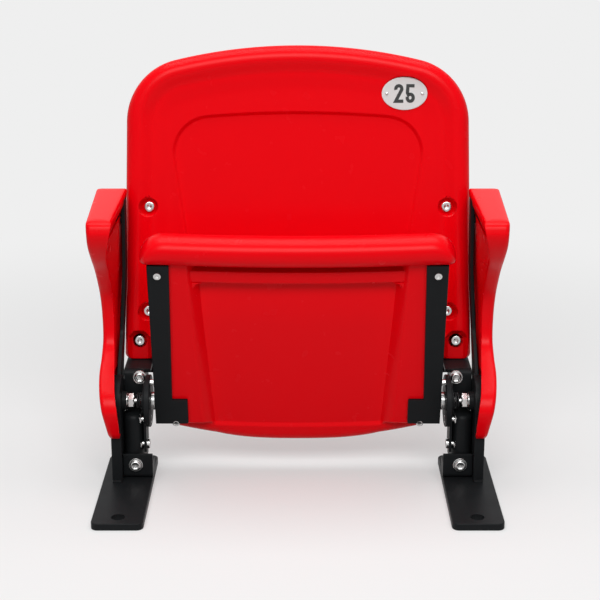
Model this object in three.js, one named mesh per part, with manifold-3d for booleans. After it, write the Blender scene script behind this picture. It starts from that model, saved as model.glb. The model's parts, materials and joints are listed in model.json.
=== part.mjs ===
import * as THREE from 'three';
import { mergeVertices } from 'three/addons/utils/BufferGeometryUtils.js';
import Module from 'manifold-3d';

// Tip-up stadium seat with its seat folded. Millimetres, X to the right, Y to the back, Z up.
// Left and right are as seen from in front. Places are measured from the seat pivot in Y and
// from the floor in Z; the finished model is then moved so that its box is centred.

const wasm = await Module();
wasm.setup();

// Shared clearances and cuts
const fit_gap = 0.3;
const run_gap = 0.6;
const cut_overrun = 3;
const round_steps = 16;
const small_steps = 8;
const disc_steps = 36;

// Pivot and motion
const foot_thickness = 10;
const leg_height = 109;
const pivot_height = foot_thickness + leg_height;
const fold_lean_degrees = 15;
const open_travel_degrees = 70;
const pin_radius = 6;
const pin_reach = 10.2;
const bush_wall = 2;
const pivot_washer_radius = 13;
const pivot_washer_thickness = 5.1;

// Widths of the seat and of its brackets, from which the sides are spaced outwards
const seat_half = 195;
const bracket_gap = 0.8;
const seat_bracket_plate = 5;
const seat_bracket_outer = seat_half + bracket_gap + seat_bracket_plate;

// Hinge plate: a thick disc with a stop notch, on a thin tail
const disc_thickness = 7.5;
const disc_radius = 36.5;
const disc_inner = seat_bracket_outer + pivot_washer_thickness + fit_gap * 2;
const hinge_outer = disc_inner + disc_thickness;
const tail_thickness = 3;
const tail_front = -14;
const tail_back = 20;
const tail_foot_share = 0.33;
const stop_orbit = 31;
const stop_radius = 4.5;
const stop_margin = 0.8;
const hinge_screw_y = -4;
const hinge_screw_shares = [0.76, 0.42];

// Leg channel: a pressed plate bowed to the front, with two side flanges
const channel_inner = hinge_outer + tail_thickness + fit_gap;
const channel_width = 29.4;
const channel_outer = channel_inner + channel_width;
const channel_plate = 3;
const channel_bow = 13;
const channel_web_y = 21;
const channel_depth = 26;
const channel_foot_share = 0.11;
const channel_foot_height = foot_thickness + leg_height * channel_foot_share;
const channel_top_share = 0.826;
const channel_top_height = foot_thickness + leg_height * channel_top_share;

// Upright: a thick bar with a round lobe at the pivot, and a thin strap up into the armrest
const upright_inner = channel_outer + fit_gap;
const bar_thickness = 14;
const bar_front = -34;
const bar_back = 22;
const lobe_radius = 36;
const strap_setback = 2.5;
const strap_inner = upright_inner + strap_setback;
const strap_thickness = 5;
const strap_outer = strap_inner + strap_thickness;
const strap_width = 26;
const strap_foot_y = 30;
const strap_knee_y = 66;
const strap_knee_rise = 86;
const strap_top_y = 74;
const strap_top_drop = 14;
const weld_leg = 4;

// Foot plate, one under each side
const foot_overhang = 28;
const foot_outer = upright_inner + foot_overhang;
const foot_width = 70;
const foot_inner = foot_outer - foot_width;
const foot_length = 233;
const foot_front = -171;
const foot_corner = 9;
const anchor_radius = 9.5;
const anchor_inset = 21;

// Foot bracket: an angle on the foot plate that takes the foot of the channel
const foot_bracket_plate = 5;
const foot_bracket_front = -22;
const foot_bracket_height = leg_height * tail_foot_share;
const foot_bracket_depth = 62;
const lug_height = 22;
const foot_bolt_inset = 11.7;
const foot_bolt_share = 0.58;

// Back shell, measured in its own leaning plane
const back_lean_degrees = 8;
const back_rise = 38;
const back_foot_height = pivot_height + back_rise;
const back_foot_y = 71;
const back_height = 447;
const back_half_foot = strap_inner - fit_gap;
const back_taper = 8;
const back_half_top = back_half_foot - back_taper;
const back_corner = 90;
const back_crown = 740;
const back_foot_corner = 10;
const back_half_thickness = 16;
const back_rim = 18;
const back_face = 9.5;
const back_hollow = 5.5;

// Sunk panel in the middle of the back
const panel_inset = 74.2;
const panel_half = back_half_foot - panel_inset;
const panel_taper = 27;
const panel_half_foot = panel_half - panel_taper;
const panel_drop = 94;
const panel_top = back_height - panel_drop;
const panel_foot = 62;
const panel_corner = 52;
const panel_crown = 1500;
const panel_floor = 3.2;

// Back fasteners, their seats and the strap behind the shell
const back_bolt_insets = [21.8, 35.2, 38.2];
const back_bolt_heights = [27.5, 70.5, 220.5];
const bolt_recess_radius = 12.5;
const bolt_recess_floor = 1;
const pocket_half = 16;
const back_strap_width = 32;
const back_strap_plate = 5;
const back_strap_foot = 24;
const back_strap_over = 22;

// Number plate
const plate_inset = 99.7;
const plate_x = back_half_foot - plate_inset;
const plate_drop = 67;
const plate_height = back_height - plate_drop;
const plate_half_width = 32;
const plate_half_height = 23;
const plate_thickness = 1.4;
const plate_rivet_x = 25;
const rivet_radius = 2.3;
const rivet_stem_share = 0.6;

// Hinge housing: the cast box that joins the upright to the back strap
const housing_cap_reach = 9;
const housing_front = 23;
const housing_wall = 5;
const housing_foot_height = channel_top_height + fit_gap;
const housing_box_rise = 9;
const housing_box_foot_height = pivot_height + housing_box_rise;
const housing_bend = 5;
const housing_bolt_inset = 6.7;
const housing_bolt_drop = 11;

// Fasteners: socket and hexagon heads
const big_bolt_radius = 6;
const big_head_radius = 10;
const big_head_height = 6;
const small_bolt_radius = 4;
const small_head_radius = 7;
const small_head_height = 4.5;
const socket_share = 0.45;
const nut_height_share = 0.9;
const nut_reach_share = 1.8;
const washer_thickness = 2;
const seat_screw_share = 0.7;
const seat_screw_depth = 12;

// Armrest
const arm_lap = 3;
const arm_inner = upright_inner - arm_lap;
const arm_width = 40;
const arm_outer = arm_inner + arm_width;
const arm_nose = -68;
const arm_tail = 95;
const arm_drop = 47;
const arm_foot_height = pivot_height - arm_drop;
const arm_height = 320;
const arm_top_height = arm_foot_height + arm_height;
const arm_rise = 9;
const arm_splay = 5;
const arm_wall = 3;
const arm_round = 7;
const arm_cover_plate = 2.4;
const arm_bolt_gap = 2;
const strap_knee_height = pivot_height + strap_knee_rise;
const strap_top_height = arm_top_height - strap_top_drop;

// Seat, measured from the pivot with the seat flat: front at -Y, sitting side up
const seat_front = -265;
const seat_back = 74;
const seat_back_side = 40;
const lip_overhang = 10;
const lip_half = seat_half + lip_overhang;
const lip_radius = 22;
const lip_height = 46;
const lip_end = 30;
const slab_top = 30;
const slab_bottom = 13;
const seat_dish = 10;
const under_flat = -4.5;
const under_panel = 9.5;
const ledge_rise = 9;
const box_back = 39;
const wall_front_inset = 48;
const wall_front_x = seat_half - wall_front_inset;
const wall_taper = 14;
const wall_back_x = wall_front_x - wall_taper;
const wall_slope = 13;
const pin_room = 6;
const pin_room_depth = 8;

// Seat bracket: a steel angle along each side of the seat
const seat_bracket_flat = 25;
const seat_bracket_foot = 46;
const seat_bracket_foot_depth = 37;
const seat_bracket_setback = 45;
const seat_bracket_front = seat_front + seat_bracket_setback;
const seat_bracket_wall = 22;
const seat_bracket_corner = 2;
const seat_bracket_round = 12;
const seat_bracket_lead = 14;
const seat_bracket_step = 8;
const seat_screw_inset = 14;
const seat_screw_back_inset = 11;

// Return spring round the pivot pin
const wire_radius = 1.1;
const coil_radius = 10.5;
const coil_turns = 3;
const coil_pitch = 3;
const steps_per_turn = 8;
const wire_sides = 5;

const radians = THREE.MathUtils.degToRad;
const steel_black = new THREE.MeshStandardMaterial({ color: 0x17191b, roughness: 0.5, metalness: 0.4 });
const zinc = new THREE.MeshStandardMaterial({ color: 0xc9cbcd, roughness: 0.25, metalness: 1 });
const red_plastic = new THREE.MeshStandardMaterial({ color: 0xdc0f1e, roughness: 0.35, metalness: 0 });
const white_plate = new THREE.MeshStandardMaterial({ color: 0xf3f3f3, roughness: 0.4, metalness: 0 });
const bush_plastic = new THREE.MeshStandardMaterial({ color: 0x2a2b2d, roughness: 0.6, metalness: 0 });
const spring_steel = new THREE.MeshStandardMaterial({ color: 0x2b2d30, roughness: 0.4, metalness: 0.8 });

// Solids

function toSolid(geometry) {
  const bare = geometry.index ? geometry.toNonIndexed() : geometry.clone();
  for (const name of Object.keys(bare.attributes)) {
    if (name !== 'position') bare.deleteAttribute(name);
  }
  const merged = mergeVertices(bare, 1e-4);
  const kept = [];
  const index = merged.index.array;
  for (let i = 0; i < index.length; i += 3) {
    const [a, b, c] = [index[i], index[i + 1], index[i + 2]];
    if (a !== b && b !== c && a !== c) kept.push(a, b, c);
  }
  return new wasm.Manifold(new wasm.Mesh({
    numProp: 3,
    vertProperties: new Float32Array(merged.attributes.position.array),
    triVerts: new Uint32Array(kept),
  }));
}

function toGeometry(solid) {
  const mesh = solid.getMesh();
  const geometry = new THREE.BufferGeometry();
  geometry.setAttribute('position', new THREE.BufferAttribute(mesh.vertProperties, 3));
  geometry.setIndex(new THREE.BufferAttribute(mesh.triVerts, 1));
  geometry.computeVertexNormals();
  return geometry;
}

function cut(body, ...tools) {
  let solid = toSolid(body);
  for (const tool of tools) solid = solid.subtract(toSolid(tool));
  return toGeometry(solid);
}

function join(...bodies) {
  let solid = toSolid(bodies[0]);
  for (const body of bodies.slice(1)) solid = solid.add(toSolid(body));
  return toGeometry(solid);
}

function common(body, tool) {
  return toGeometry(toSolid(body).intersect(toSolid(tool)));
}

function mirrored(geometry) {
  const copy = geometry.index ? geometry.toNonIndexed() : geometry.clone();
  copy.applyMatrix4(new THREE.Matrix4().makeScale(-1, 1, 1));
  const position = copy.attributes.position;
  for (let i = 0; i < position.count; i += 3) {
    const held = new THREE.Vector3().fromBufferAttribute(position, i);
    position.setXYZ(i, position.getX(i + 1), position.getY(i + 1), position.getZ(i + 1));
    position.setXYZ(i + 1, held.x, held.y, held.z);
  }
  copy.computeVertexNormals();
  return copy;
}

function box(x0, x1, y0, y1, z0, z1) {
  const geometry = new THREE.BoxGeometry(x1 - x0, y1 - y0, z1 - z0);
  return geometry.translate((x0 + x1) / 2, (y0 + y1) / 2, (z0 + z1) / 2);
}

// An outline drawn in Y and Z, extruded from x0 to x1
function alongX(shape, x0, x1, steps = small_steps) {
  const geometry = new THREE.ExtrudeGeometry(shape, { depth: x1 - x0, bevelEnabled: false, curveSegments: steps });
  const turn = new THREE.Matrix4().makeBasis(
    new THREE.Vector3(0, 1, 0), new THREE.Vector3(0, 0, 1), new THREE.Vector3(1, 0, 0));
  return geometry.applyMatrix4(turn).translate(x0, 0, 0);
}

// An outline drawn in X and Z, extruded from y0 to y1
function alongY(shape, y0, y1, steps = small_steps) {
  const geometry = new THREE.ExtrudeGeometry(shape, { depth: y1 - y0, bevelEnabled: false, curveSegments: steps });
  const turn = new THREE.Matrix4().makeBasis(
    new THREE.Vector3(1, 0, 0), new THREE.Vector3(0, 0, 1), new THREE.Vector3(0, -1, 0));
  return geometry.applyMatrix4(turn).translate(0, y1, 0);
}

// An outline drawn in X and Y, extruded from z0 to z1
function alongZ(shape, z0, z1, steps = small_steps) {
  const geometry = new THREE.ExtrudeGeometry(shape, { depth: z1 - z0, bevelEnabled: false, curveSegments: steps });
  return geometry.translate(0, 0, z0);
}

function outline(points) {
  return new THREE.Shape(points.map(([a, b]) => new THREE.Vector2(a, b)));
}

function rodX(radius, x0, x1, y, z, sides = round_steps) {
  const geometry = new THREE.CylinderGeometry(radius, radius, x1 - x0, sides);
  return geometry.rotateZ(-Math.PI / 2).translate((x0 + x1) / 2, y, z);
}

function rodY(radius, y0, y1, x, z, sides = round_steps) {
  const geometry = new THREE.CylinderGeometry(radius, radius, y1 - y0, sides);
  return geometry.translate(x, (y0 + y1) / 2, z);
}

function rodZ(radius, z0, z1, x, y, sides = round_steps) {
  const geometry = new THREE.CylinderGeometry(radius, radius, z1 - z0, sides);
  return geometry.rotateX(Math.PI / 2).translate(x, y, (z0 + z1) / 2);
}

// A closed skin over equal rings of points, with an ear-cut cap at each end
function skin(rings) {
  const count = rings[0].length;
  const points = rings.flat();
  const faces = [];
  for (let r = 0; r < rings.length - 1; r += 1) {
    for (let i = 0; i < count; i += 1) {
      const j = (i + 1) % count;
      const [a, b] = [r * count + i, r * count + j];
      faces.push(a, b, b + count, a, b + count, a + count);
    }
  }
  const last = (rings.length - 1) * count;
  for (const [x, y, z] of capFaces(rings[0])) faces.push(x, z, y);
  for (const [x, y, z] of capFaces(rings.at(-1))) faces.push(last + x, last + y, last + z);
  const geometry = new THREE.BufferGeometry();
  geometry.setAttribute('position', new THREE.Float32BufferAttribute(points.flat(), 3));
  geometry.setIndex(faces);
  return geometry;
}

// Ear-cuts a flat ring after looking at it along its own normal
function capFaces(ring) {
  const corners = ring.map((p) => new THREE.Vector3(...p));
  const middle = corners.reduce((sum, p) => sum.add(p), new THREE.Vector3()).divideScalar(ring.length);
  const normal = new THREE.Vector3();
  corners.forEach((p, i) => {
    const next = corners[(i + 1) % corners.length];
    normal.add(p.clone().sub(middle).cross(next.clone().sub(middle)));
  });
  normal.normalize();
  const across = new THREE.Vector3(1, 0, 0);
  if (Math.abs(normal.x) > Math.abs(normal.z) + Math.abs(normal.y)) across.set(0, 1, 0);
  across.addScaledVector(normal, -across.dot(normal)).normalize();
  const up = normal.clone().cross(across);
  const flat = corners.map((p) => new THREE.Vector2(p.dot(across), p.dot(up)));
  return THREE.ShapeUtils.triangulateShape(flat, []);
}

function arc(cx, cy, radius, from, to, steps) {
  const points = [];
  for (let i = 0; i <= steps; i += 1) {
    const angle = from + (to - from) * i / steps;
    points.push([cx + radius * Math.cos(angle), cy + radius * Math.sin(angle)]);
  }
  return points;
}

function between(a, b, steps) {
  const points = [];
  for (let i = 1; i < steps; i += 1) {
    points.push([a[0] + (b[0] - a[0]) * i / steps, a[1] + (b[1] - a[1]) * i / steps]);
  }
  return points;
}

// Fasteners

function socketScrewY(radius, headRadius, headHeight, x, z, headFace, tip, sides = small_steps) {
  const shank = rodY(radius, headFace, tip, x, z, sides);
  const head = rodY(headRadius, headFace - headHeight, headFace, x, z, round_steps);
  const socket = rodY(headRadius * socket_share, headFace - headHeight * 2, headFace - headHeight / 2, x, z, 6);
  return cut(join(shank, head), socket);
}

function nutY(radius, x, z, from) {
  return rodY(radius * nut_reach_share, from, from + radius * 2 * nut_height_share, x, z, 6);
}

// Back shell

const crown_middle = back_height - back_crown;
const back_bolt_xs = back_bolt_insets.map((inset) => back_half_foot - inset);
const side_tilt = Math.atan((back_half_foot - back_half_top) / (back_height - back_corner));

// The outline of the back, drawn inwards by an inset, with the same count of points each time
function backOutline(inset) {
  const cornerX = back_half_top - back_corner;
  const reach = back_crown - back_corner;
  const cornerZ = crown_middle + Math.sqrt(reach ** 2 - cornerX ** 2);
  const turn = Math.atan2(cornerZ - crown_middle, cornerX);
  const footRound = Math.max(back_foot_corner - inset, back_foot_corner / 5);
  const footX = back_half_foot - inset - footRound;
  const cornerRound = back_corner - inset;
  const foot = arc(footX, inset + footRound, footRound, -Math.PI / 2, side_tilt, 3);
  const corner = arc(cornerX, cornerZ, cornerRound, side_tilt, turn, 8);
  const crown = arc(0, crown_middle, back_crown - inset, turn, Math.PI / 2, 5);
  const right = [...foot, ...between(foot.at(-1), corner[0], 4), ...corner, ...crown.slice(1)];
  const left = right.slice(0, -1).reverse().map(([x, z]) => [-x, z]);
  const base = between(left.at(-1), right[0], 4);
  return [...right, ...left, ...base];
}

function backRings() {
  const rings = [];
  const place = (inset, y) => rings.push(backOutline(inset).map(([x, z]) => [x, y, z]));
  place(back_rim * 3, back_half_thickness - back_hollow / 3);
  place(back_rim * 1.6, back_half_thickness - back_hollow / 3);
  for (let i = 0; i <= 8; i += 1) {
    const angle = Math.PI / 2 - Math.PI * i / 8;
    place(back_rim * (1 - Math.cos(angle)), back_half_thickness * Math.sin(angle));
  }
  place(back_rim * 1.35, -back_half_thickness * 0.9);
  place(back_rim * 1.75, -back_face * 1.15);
  place(back_rim * 2.2, -back_face);
  place(back_rim * 4, -(back_face + back_hollow) / 2);
  return rings;
}

function panelShape() {
  const shape = new THREE.Shape();
  const cornerX = panel_half - panel_corner;
  const middle = panel_top - panel_crown;
  const cornerZ = middle + Math.sqrt((panel_crown - panel_corner) ** 2 - cornerX ** 2);
  const tilt = -Math.atan((panel_half - panel_half_foot) / (cornerZ - panel_foot - panel_corner));
  const turn = Math.atan2(cornerZ - middle, cornerX);
  const foot = arc(panel_half_foot - panel_corner, panel_foot + panel_corner, panel_corner, -Math.PI / 2, tilt, 6);
  const corner = arc(cornerX, cornerZ, panel_corner, tilt, turn, 10);
  const crown = arc(0, middle, panel_crown, turn, Math.PI / 2, 4);
  const right = [...foot, ...corner, ...crown.slice(1)];
  const left = right.slice(0, -1).reverse().map(([x, z]) => [-x, z]);
  [...right, ...left].forEach(([x, z], i) => (i ? shape.lineTo(x, z) : shape.moveTo(x, z)));
  return shape;
}

function plateShape(grow) {
  const shape = new THREE.Shape();
  shape.absellipse(plate_x, plate_height, plate_half_width + grow, plate_half_height + grow, 0, Math.PI * 2);
  return shape;
}

const plate_seat = -back_face + plate_thickness + fit_gap;
const rivet_stem = rivet_radius * rivet_stem_share;

function backShell() {
  const deep = back_half_thickness * 2;
  const tools = [alongY(panelShape(), -deep, -panel_floor)];
  tools.push(alongY(plateShape(fit_gap * 3), -deep, plate_seat, round_steps));
  for (const x of [-plate_rivet_x, plate_rivet_x]) {
    tools.push(rodY(rivet_stem + fit_gap, -back_half_thickness, 0, plate_x + x, plate_height, small_steps));
  }
  for (const side of [-1, 1]) {
    back_bolt_xs.forEach((x, i) => {
      const z = back_bolt_heights[i];
      tools.push(rodY(small_bolt_radius + fit_gap, -deep, deep, side * x, z, small_steps));
      tools.push(rodY(bolt_recess_radius, -deep, -bolt_recess_floor, side * x, z));
    });
    const [x, z] = [side * back_bolt_xs[0], back_bolt_heights[0]];
    tools.push(box(x - pocket_half, x + pocket_half, -deep, -bolt_recess_floor * 3, -cut_overrun, z));
    tools.push(rodY(pocket_half, -deep, -bolt_recess_floor * 3, x, z));
  }
  return cut(skin(backRings()), ...tools);
}

function numberPlate() {
  const holes = [-plate_rivet_x, plate_rivet_x].map((x) => (
    rodY(rivet_stem + fit_gap, -back_half_thickness, 0, plate_x + x, plate_height, small_steps)));
  const rear = plate_seat - fit_gap;
  return cut(alongY(plateShape(0), rear - plate_thickness, rear, round_steps), ...holes);
}

function numberRivet(x) {
  const face = plate_seat - fit_gap * 2 - plate_thickness;
  const head = rodY(rivet_radius, face - 0.8 * plate_thickness, face, plate_x + x, plate_height, small_steps);
  const tip = plate_seat + rivet_radius;
  const stem = rodY(rivet_stem, face - fit_gap, tip, plate_x + x, plate_height, small_steps);
  return join(head, stem);
}

const strap_seat = back_half_thickness + fit_gap;

function backStrap() {
  const half = back_strap_width / 2;
  const [footX, topX] = [back_bolt_xs[0], back_bolt_xs[2]];
  const shape = outline([
    [footX - half, -back_strap_foot], [footX + half, -back_strap_foot],
    [topX + half, back_bolt_heights[2] + back_strap_over], [topX - half, back_bolt_heights[2] + back_strap_over]]);
  const bolts = back_bolt_xs.map((x, i) => (
    rodY(small_bolt_radius + fit_gap, 0, back_half_thickness * 3, x, back_bolt_heights[i], small_steps)));
  return cut(alongY(shape, strap_seat, strap_seat + back_strap_plate), ...bolts, strapBoltHole());
}

function backBolt(i) {
  const [x, z] = [back_bolt_xs[i], back_bolt_heights[i]];
  const floor = i === 0 ? -bolt_recess_floor * 3 : -bolt_recess_floor;
  const rear = strap_seat + back_strap_plate + fit_gap;
  const nut = nutY(small_bolt_radius, x, z, rear);
  const tip = rear + small_bolt_radius * 2.5;
  const screw = socketScrewY(small_bolt_radius, small_head_radius, small_head_height, x, z, floor - fit_gap, tip);
  return join(screw, nut);
}

// Steelwork of one side, drawn for the right side

function plateOutline(x0, x1, y0, y1, round) {
  const shape = new THREE.Shape();
  const points = [
    ...arc(x1 - round, y0 + round, round, -Math.PI / 2, 0, 4),
    ...arc(x1 - round, y1 - round, round, 0, Math.PI / 2, 4),
    ...arc(x0 + round, y1 - round, round, Math.PI / 2, Math.PI, 4),
    ...arc(x0 + round, y0 + round, round, Math.PI, Math.PI * 1.5, 4)];
  points.forEach(([x, y], i) => (i ? shape.lineTo(x, y) : shape.moveTo(x, y)));
  return shape;
}

const foot_middle = foot_outer - foot_width / 2;
const foot_rear = foot_front + foot_length;

function footPlate() {
  const shape = plateOutline(foot_inner, foot_outer, foot_front, foot_rear, foot_corner);
  const edge = foot_corner / 10;
  const slab = new THREE.ExtrudeGeometry(shape, {
    depth: foot_thickness - edge * 2, bevelThickness: edge, bevelSize: edge, bevelOffset: -edge, bevelSegments: 1,
  });
  slab.translate(0, 0, edge);
  const holes = [foot_front + anchor_inset, foot_rear - anchor_inset].map((y) => (
    rodZ(anchor_radius, -cut_overrun, foot_thickness + cut_overrun, foot_middle, y)));
  return cut(slab, ...holes);
}

function upright() {
  const base = foot_thickness;
  const bar = outline([[bar_front, base], [bar_back, base], [bar_back, pivot_height], [bar_front, pivot_height]]);
  const [x0, x1] = [upright_inner, upright_inner + bar_thickness];
  const half = strap_width / 2;
  const strap = outline([
    [strap_foot_y - half * 2, pivot_height - lobe_radius / 2], [strap_foot_y, pivot_height - lobe_radius / 2],
    [strap_knee_y + half * 0.9, strap_knee_height - half], [strap_top_y + half, strap_top_height],
    [strap_top_y - half, strap_top_height], [strap_knee_y - half, strap_knee_height],
    [strap_foot_y - half * 2, pivot_height + lobe_radius * 0.8]]);
  const root = bar_front + weld_leg / 4;
  const weld = outline([[bar_front - weld_leg, base], [root, base], [root, base + weld_leg]]);
  const body = join(
    alongX(bar, x0, x1), rodX(lobe_radius, x0, x1, 0, pivot_height, disc_steps),
    alongX(strap, strap_inner, strap_outer), alongX(weld, x0, x1));
  const [from, to] = [x0 - cut_overrun, x1 + cut_overrun];
  return cut(body,
    rodX(big_bolt_radius + fit_gap, from, to, 0, pivot_height),
    rodX(small_bolt_radius + fit_gap, from, to, strap_top_y, strap_top_height - half, small_steps));
}

const stop_start = radians(90 + fold_lean_degrees);
const stop_end = stop_start + radians(open_travel_degrees);

function pivotPoint(radius, angle) {
  return [radius * Math.cos(angle), pivot_height + radius * Math.sin(angle)];
}

const tail_foot_height = foot_thickness + leg_height * tail_foot_share;

function hingePlate() {
  const slack = Math.asin((stop_radius + stop_margin) / stop_orbit);
  const floor = stop_orbit - stop_radius - stop_margin;
  const notch = outline([
    ...arc(0, pivot_height, floor, stop_start - slack, stop_end + slack, 12),
    ...arc(0, pivot_height, disc_radius * 1.3, stop_end + slack, stop_start - slack, 6)]);
  const tail = outline([
    [tail_front, tail_foot_height], [tail_back, tail_foot_height],
    [tail_back, pivot_height], [tail_front, pivot_height]]);
  const [from, to] = [disc_inner - cut_overrun, hinge_outer + tail_thickness + cut_overrun];
  const disc = cut(rodX(disc_radius, disc_inner, hinge_outer, 0, pivot_height, disc_steps), alongX(notch, from, to));
  const thin = join(alongX(tail, hinge_outer, hinge_outer + tail_thickness),
    rodX(floor - stop_margin, hinge_outer, hinge_outer + tail_thickness, 0, pivot_height, disc_steps));
  const sunkHead = rodX(small_head_radius + fit_gap, from, sunk_head_face, hinge_screw_y, hinge_screw_heights[0]);
  const bore = rodX(pin_radius + bush_wall + fit_gap, from, to, 0, pivot_height);
  return cut(join(disc, thin), bore, sunkHead, ...hingeScrewHoles(fit_gap));
}

const hinge_screw_heights = hinge_screw_shares.map((share) => foot_thickness + leg_height * share);
const sunk_head_face = disc_inner + small_head_height + fit_gap;

function hingeScrewHoles(grow) {
  return hinge_screw_heights.map((z) => (
    rodX(small_bolt_radius + grow, hinge_outer - disc_thickness * 2, channel_outer, hinge_screw_y, z, small_steps)));
}

// A hinge screw has its head on the side of the seat and its nut inside the channel
function hingeScrew(i) {
  const z = hinge_screw_heights[i];
  const face = i === 0 ? sunk_head_face : hinge_outer;
  const back = channel_inner + channel_plate + fit_gap;
  const nut = rodX(small_bolt_radius * nut_reach_share, back, back + small_bolt_radius * 1.5, hinge_screw_y, z, 6);
  const head = rodX(small_head_radius, face - small_head_height, face - fit_gap, hinge_screw_y, z, round_steps);
  const inside = face - small_head_height / 2;
  const shank = rodX(small_bolt_radius, inside, back + small_bolt_radius * 2, hinge_screw_y, z, small_steps);
  const socket = rodX(small_head_radius * socket_share, face - small_head_height * 2, inside, hinge_screw_y, z, 6);
  return cut(join(head, shank, nut), socket);
}

function channelSection(z0, z1) {
  const [x0, x1] = [channel_inner, channel_outer];
  const [plate, web] = [channel_plate, channel_web_y];
  const middle = (x0 + x1) / 2;
  const half = (x1 - x0) / 2;
  const radius = (half ** 2 + channel_bow ** 2) / (2 * channel_bow);
  const spread = Math.asin(half / radius);
  const centre = web - channel_bow + radius;
  const front = arc(middle, centre, radius, -Math.PI / 2 - spread, -Math.PI / 2 + spread, 12);
  const innerSpread = Math.asin((half - plate) / (radius - plate));
  const back = arc(middle, centre, radius - plate, -Math.PI / 2 + innerSpread, -Math.PI / 2 - innerSpread, 12);
  const depth = web + channel_depth;
  const section = [...front, [x1, depth], [x1 - plate, depth], ...back, [x0 + plate, depth], [x0, depth]];
  return alongZ(outline(section), z0, z1);
}

function legChannel() {
  const flange = box(channel_inner, channel_inner + channel_plate, tail_front, channel_web_y + channel_plate,
    foot_thickness + foot_bracket_height + fit_gap, channel_top_height);
  const body = join(channelSection(channel_foot_height, channel_top_height), flange);
  return cut(body, ...hingeScrewHoles(fit_gap), footBoltHole());
}

const foot_bolt_x = channel_inner + foot_bolt_inset;
const foot_bolt_height = foot_thickness + foot_bracket_height * foot_bolt_share;

function footBoltHole() {
  const from = foot_bracket_front - cut_overrun;
  return rodY(big_bolt_radius + fit_gap, from, channel_web_y + channel_bow, foot_bolt_x, foot_bolt_height);
}

function footBracket() {
  const [x0, x1] = [foot_inner, channel_outer];
  const base = foot_thickness;
  const round = foot_bracket_plate * 1.6;
  const back = foot_bracket_front + foot_bracket_plate;
  const outer = arc(foot_bracket_front + round, base + round, round, Math.PI, Math.PI * 1.5, 5);
  const inner = arc(back + round / 2, base + foot_bracket_plate + round / 2, round / 2, Math.PI * 1.5, Math.PI, 4);
  const tail = foot_bracket_front + foot_bracket_depth;
  const angle = alongX(outline([
    [foot_bracket_front, base + foot_bracket_height], ...outer, [tail, base],
    [tail, base + foot_bracket_plate], ...inner, [back, base + foot_bracket_height]]), x0, x1);
  const root = foot_bracket_plate / 5;
  const lug = box(x0, x0 + foot_bracket_plate, back - root, back + lug_height, base + root, base + lug_height);
  const anchor = rodZ(anchor_radius * 1.5, 0, base * 2, foot_middle, foot_rear - anchor_inset);
  return cut(join(angle, lug), footBoltHole(), anchor);
}

function footBolt() {
  const [x, z, face] = [foot_bolt_x, foot_bolt_height, foot_bracket_front - fit_gap];
  const tip = channel_web_y + channel_bow / 2;
  const spacer_front = foot_bracket_front + foot_bracket_plate + fit_gap;
  const spacer = rodY(big_head_radius, spacer_front, channel_web_y - channel_bow - fit_gap, x, z);
  return join(socketScrewY(big_bolt_radius, big_head_radius, big_head_height, x, z, face, tip), spacer);
}

const housing_bolt_x = channel_inner + housing_bolt_inset;
const housing_bolt_height = back_foot_height - housing_bolt_drop;

function housingBoltHole() {
  const from = housing_front - cut_overrun;
  return rodY(big_bolt_radius + fit_gap, from, back_foot_y * 2, housing_bolt_x, housing_bolt_height);
}

// The same hole where it goes through the leaning strap, with room for the slant
function strapBoltHole() {
  const lean = radians(back_lean_degrees);
  const middle = strap_seat + back_strap_plate / 2;
  const z = (housing_bolt_height - back_foot_height + middle * Math.sin(lean)) / Math.cos(lean);
  return rodY(big_bolt_radius + run_gap * 2, 0, back_half_thickness * 3, housing_bolt_x, z);
}

function hingeHousing() {
  const top = back_foot_height - fit_gap * 2;
  const outer = channel_outer;
  const inner = channel_inner + fit_gap;
  const capInner = inner - housing_cap_reach;
  const rear = back_foot_y + back_half_thickness * 2;
  const side = outline([
    [housing_front, housing_foot_height], [housing_front + housing_wall, housing_foot_height],
    [housing_front + housing_wall, housing_box_foot_height], [rear, housing_box_foot_height], [rear, top],
    ...arc(housing_front + housing_bend, top - housing_bend, housing_bend, Math.PI / 2, Math.PI, 4)]);
  const body = alongX(side, inner, outer);
  const cap = box(capInner, inner + housing_wall, housing_front + housing_bend, rear, top - housing_wall, top);
  const pocket = box(inner + housing_wall, outer - housing_wall, housing_front + housing_wall * 2,
    back_foot_y - housing_wall, housing_box_foot_height - cut_overrun, top - housing_wall);
  const far = back_half_foot;
  const seat = leaning(box(0, far * 2, strap_seat - fit_gap * 2, far, -far, far));
  const disc = rodX(disc_radius + run_gap, capInner - cut_overrun, hinge_outer + run_gap, 0, pivot_height, disc_steps);
  return cut(join(body, cap), pocket, seat, disc, housingBoltHole());
}

function housingBolt() {
  const rear = back_foot_y + back_half_thickness + back_strap_plate * 2.4;
  const [x, z, face] = [housing_bolt_x, housing_bolt_height, housing_front - fit_gap];
  const tip = rear + big_bolt_radius * 2;
  const screw = socketScrewY(big_bolt_radius, big_head_radius, big_head_height, x, z, face, tip);
  return join(screw, nutY(big_bolt_radius, x, z, rear - back_strap_plate * 0.4));
}

// Turns a piece of the back, drawn upright, into its leaning place
function leaning(geometry) {
  return geometry.rotateX(-radians(back_lean_degrees)).translate(0, back_foot_y, back_foot_height);
}

// Armrest: level slices from its foot to the pad, as shares of its height, its depth (front
// and back) and its width (inner edge at the front and at the back, outer edge)

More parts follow.
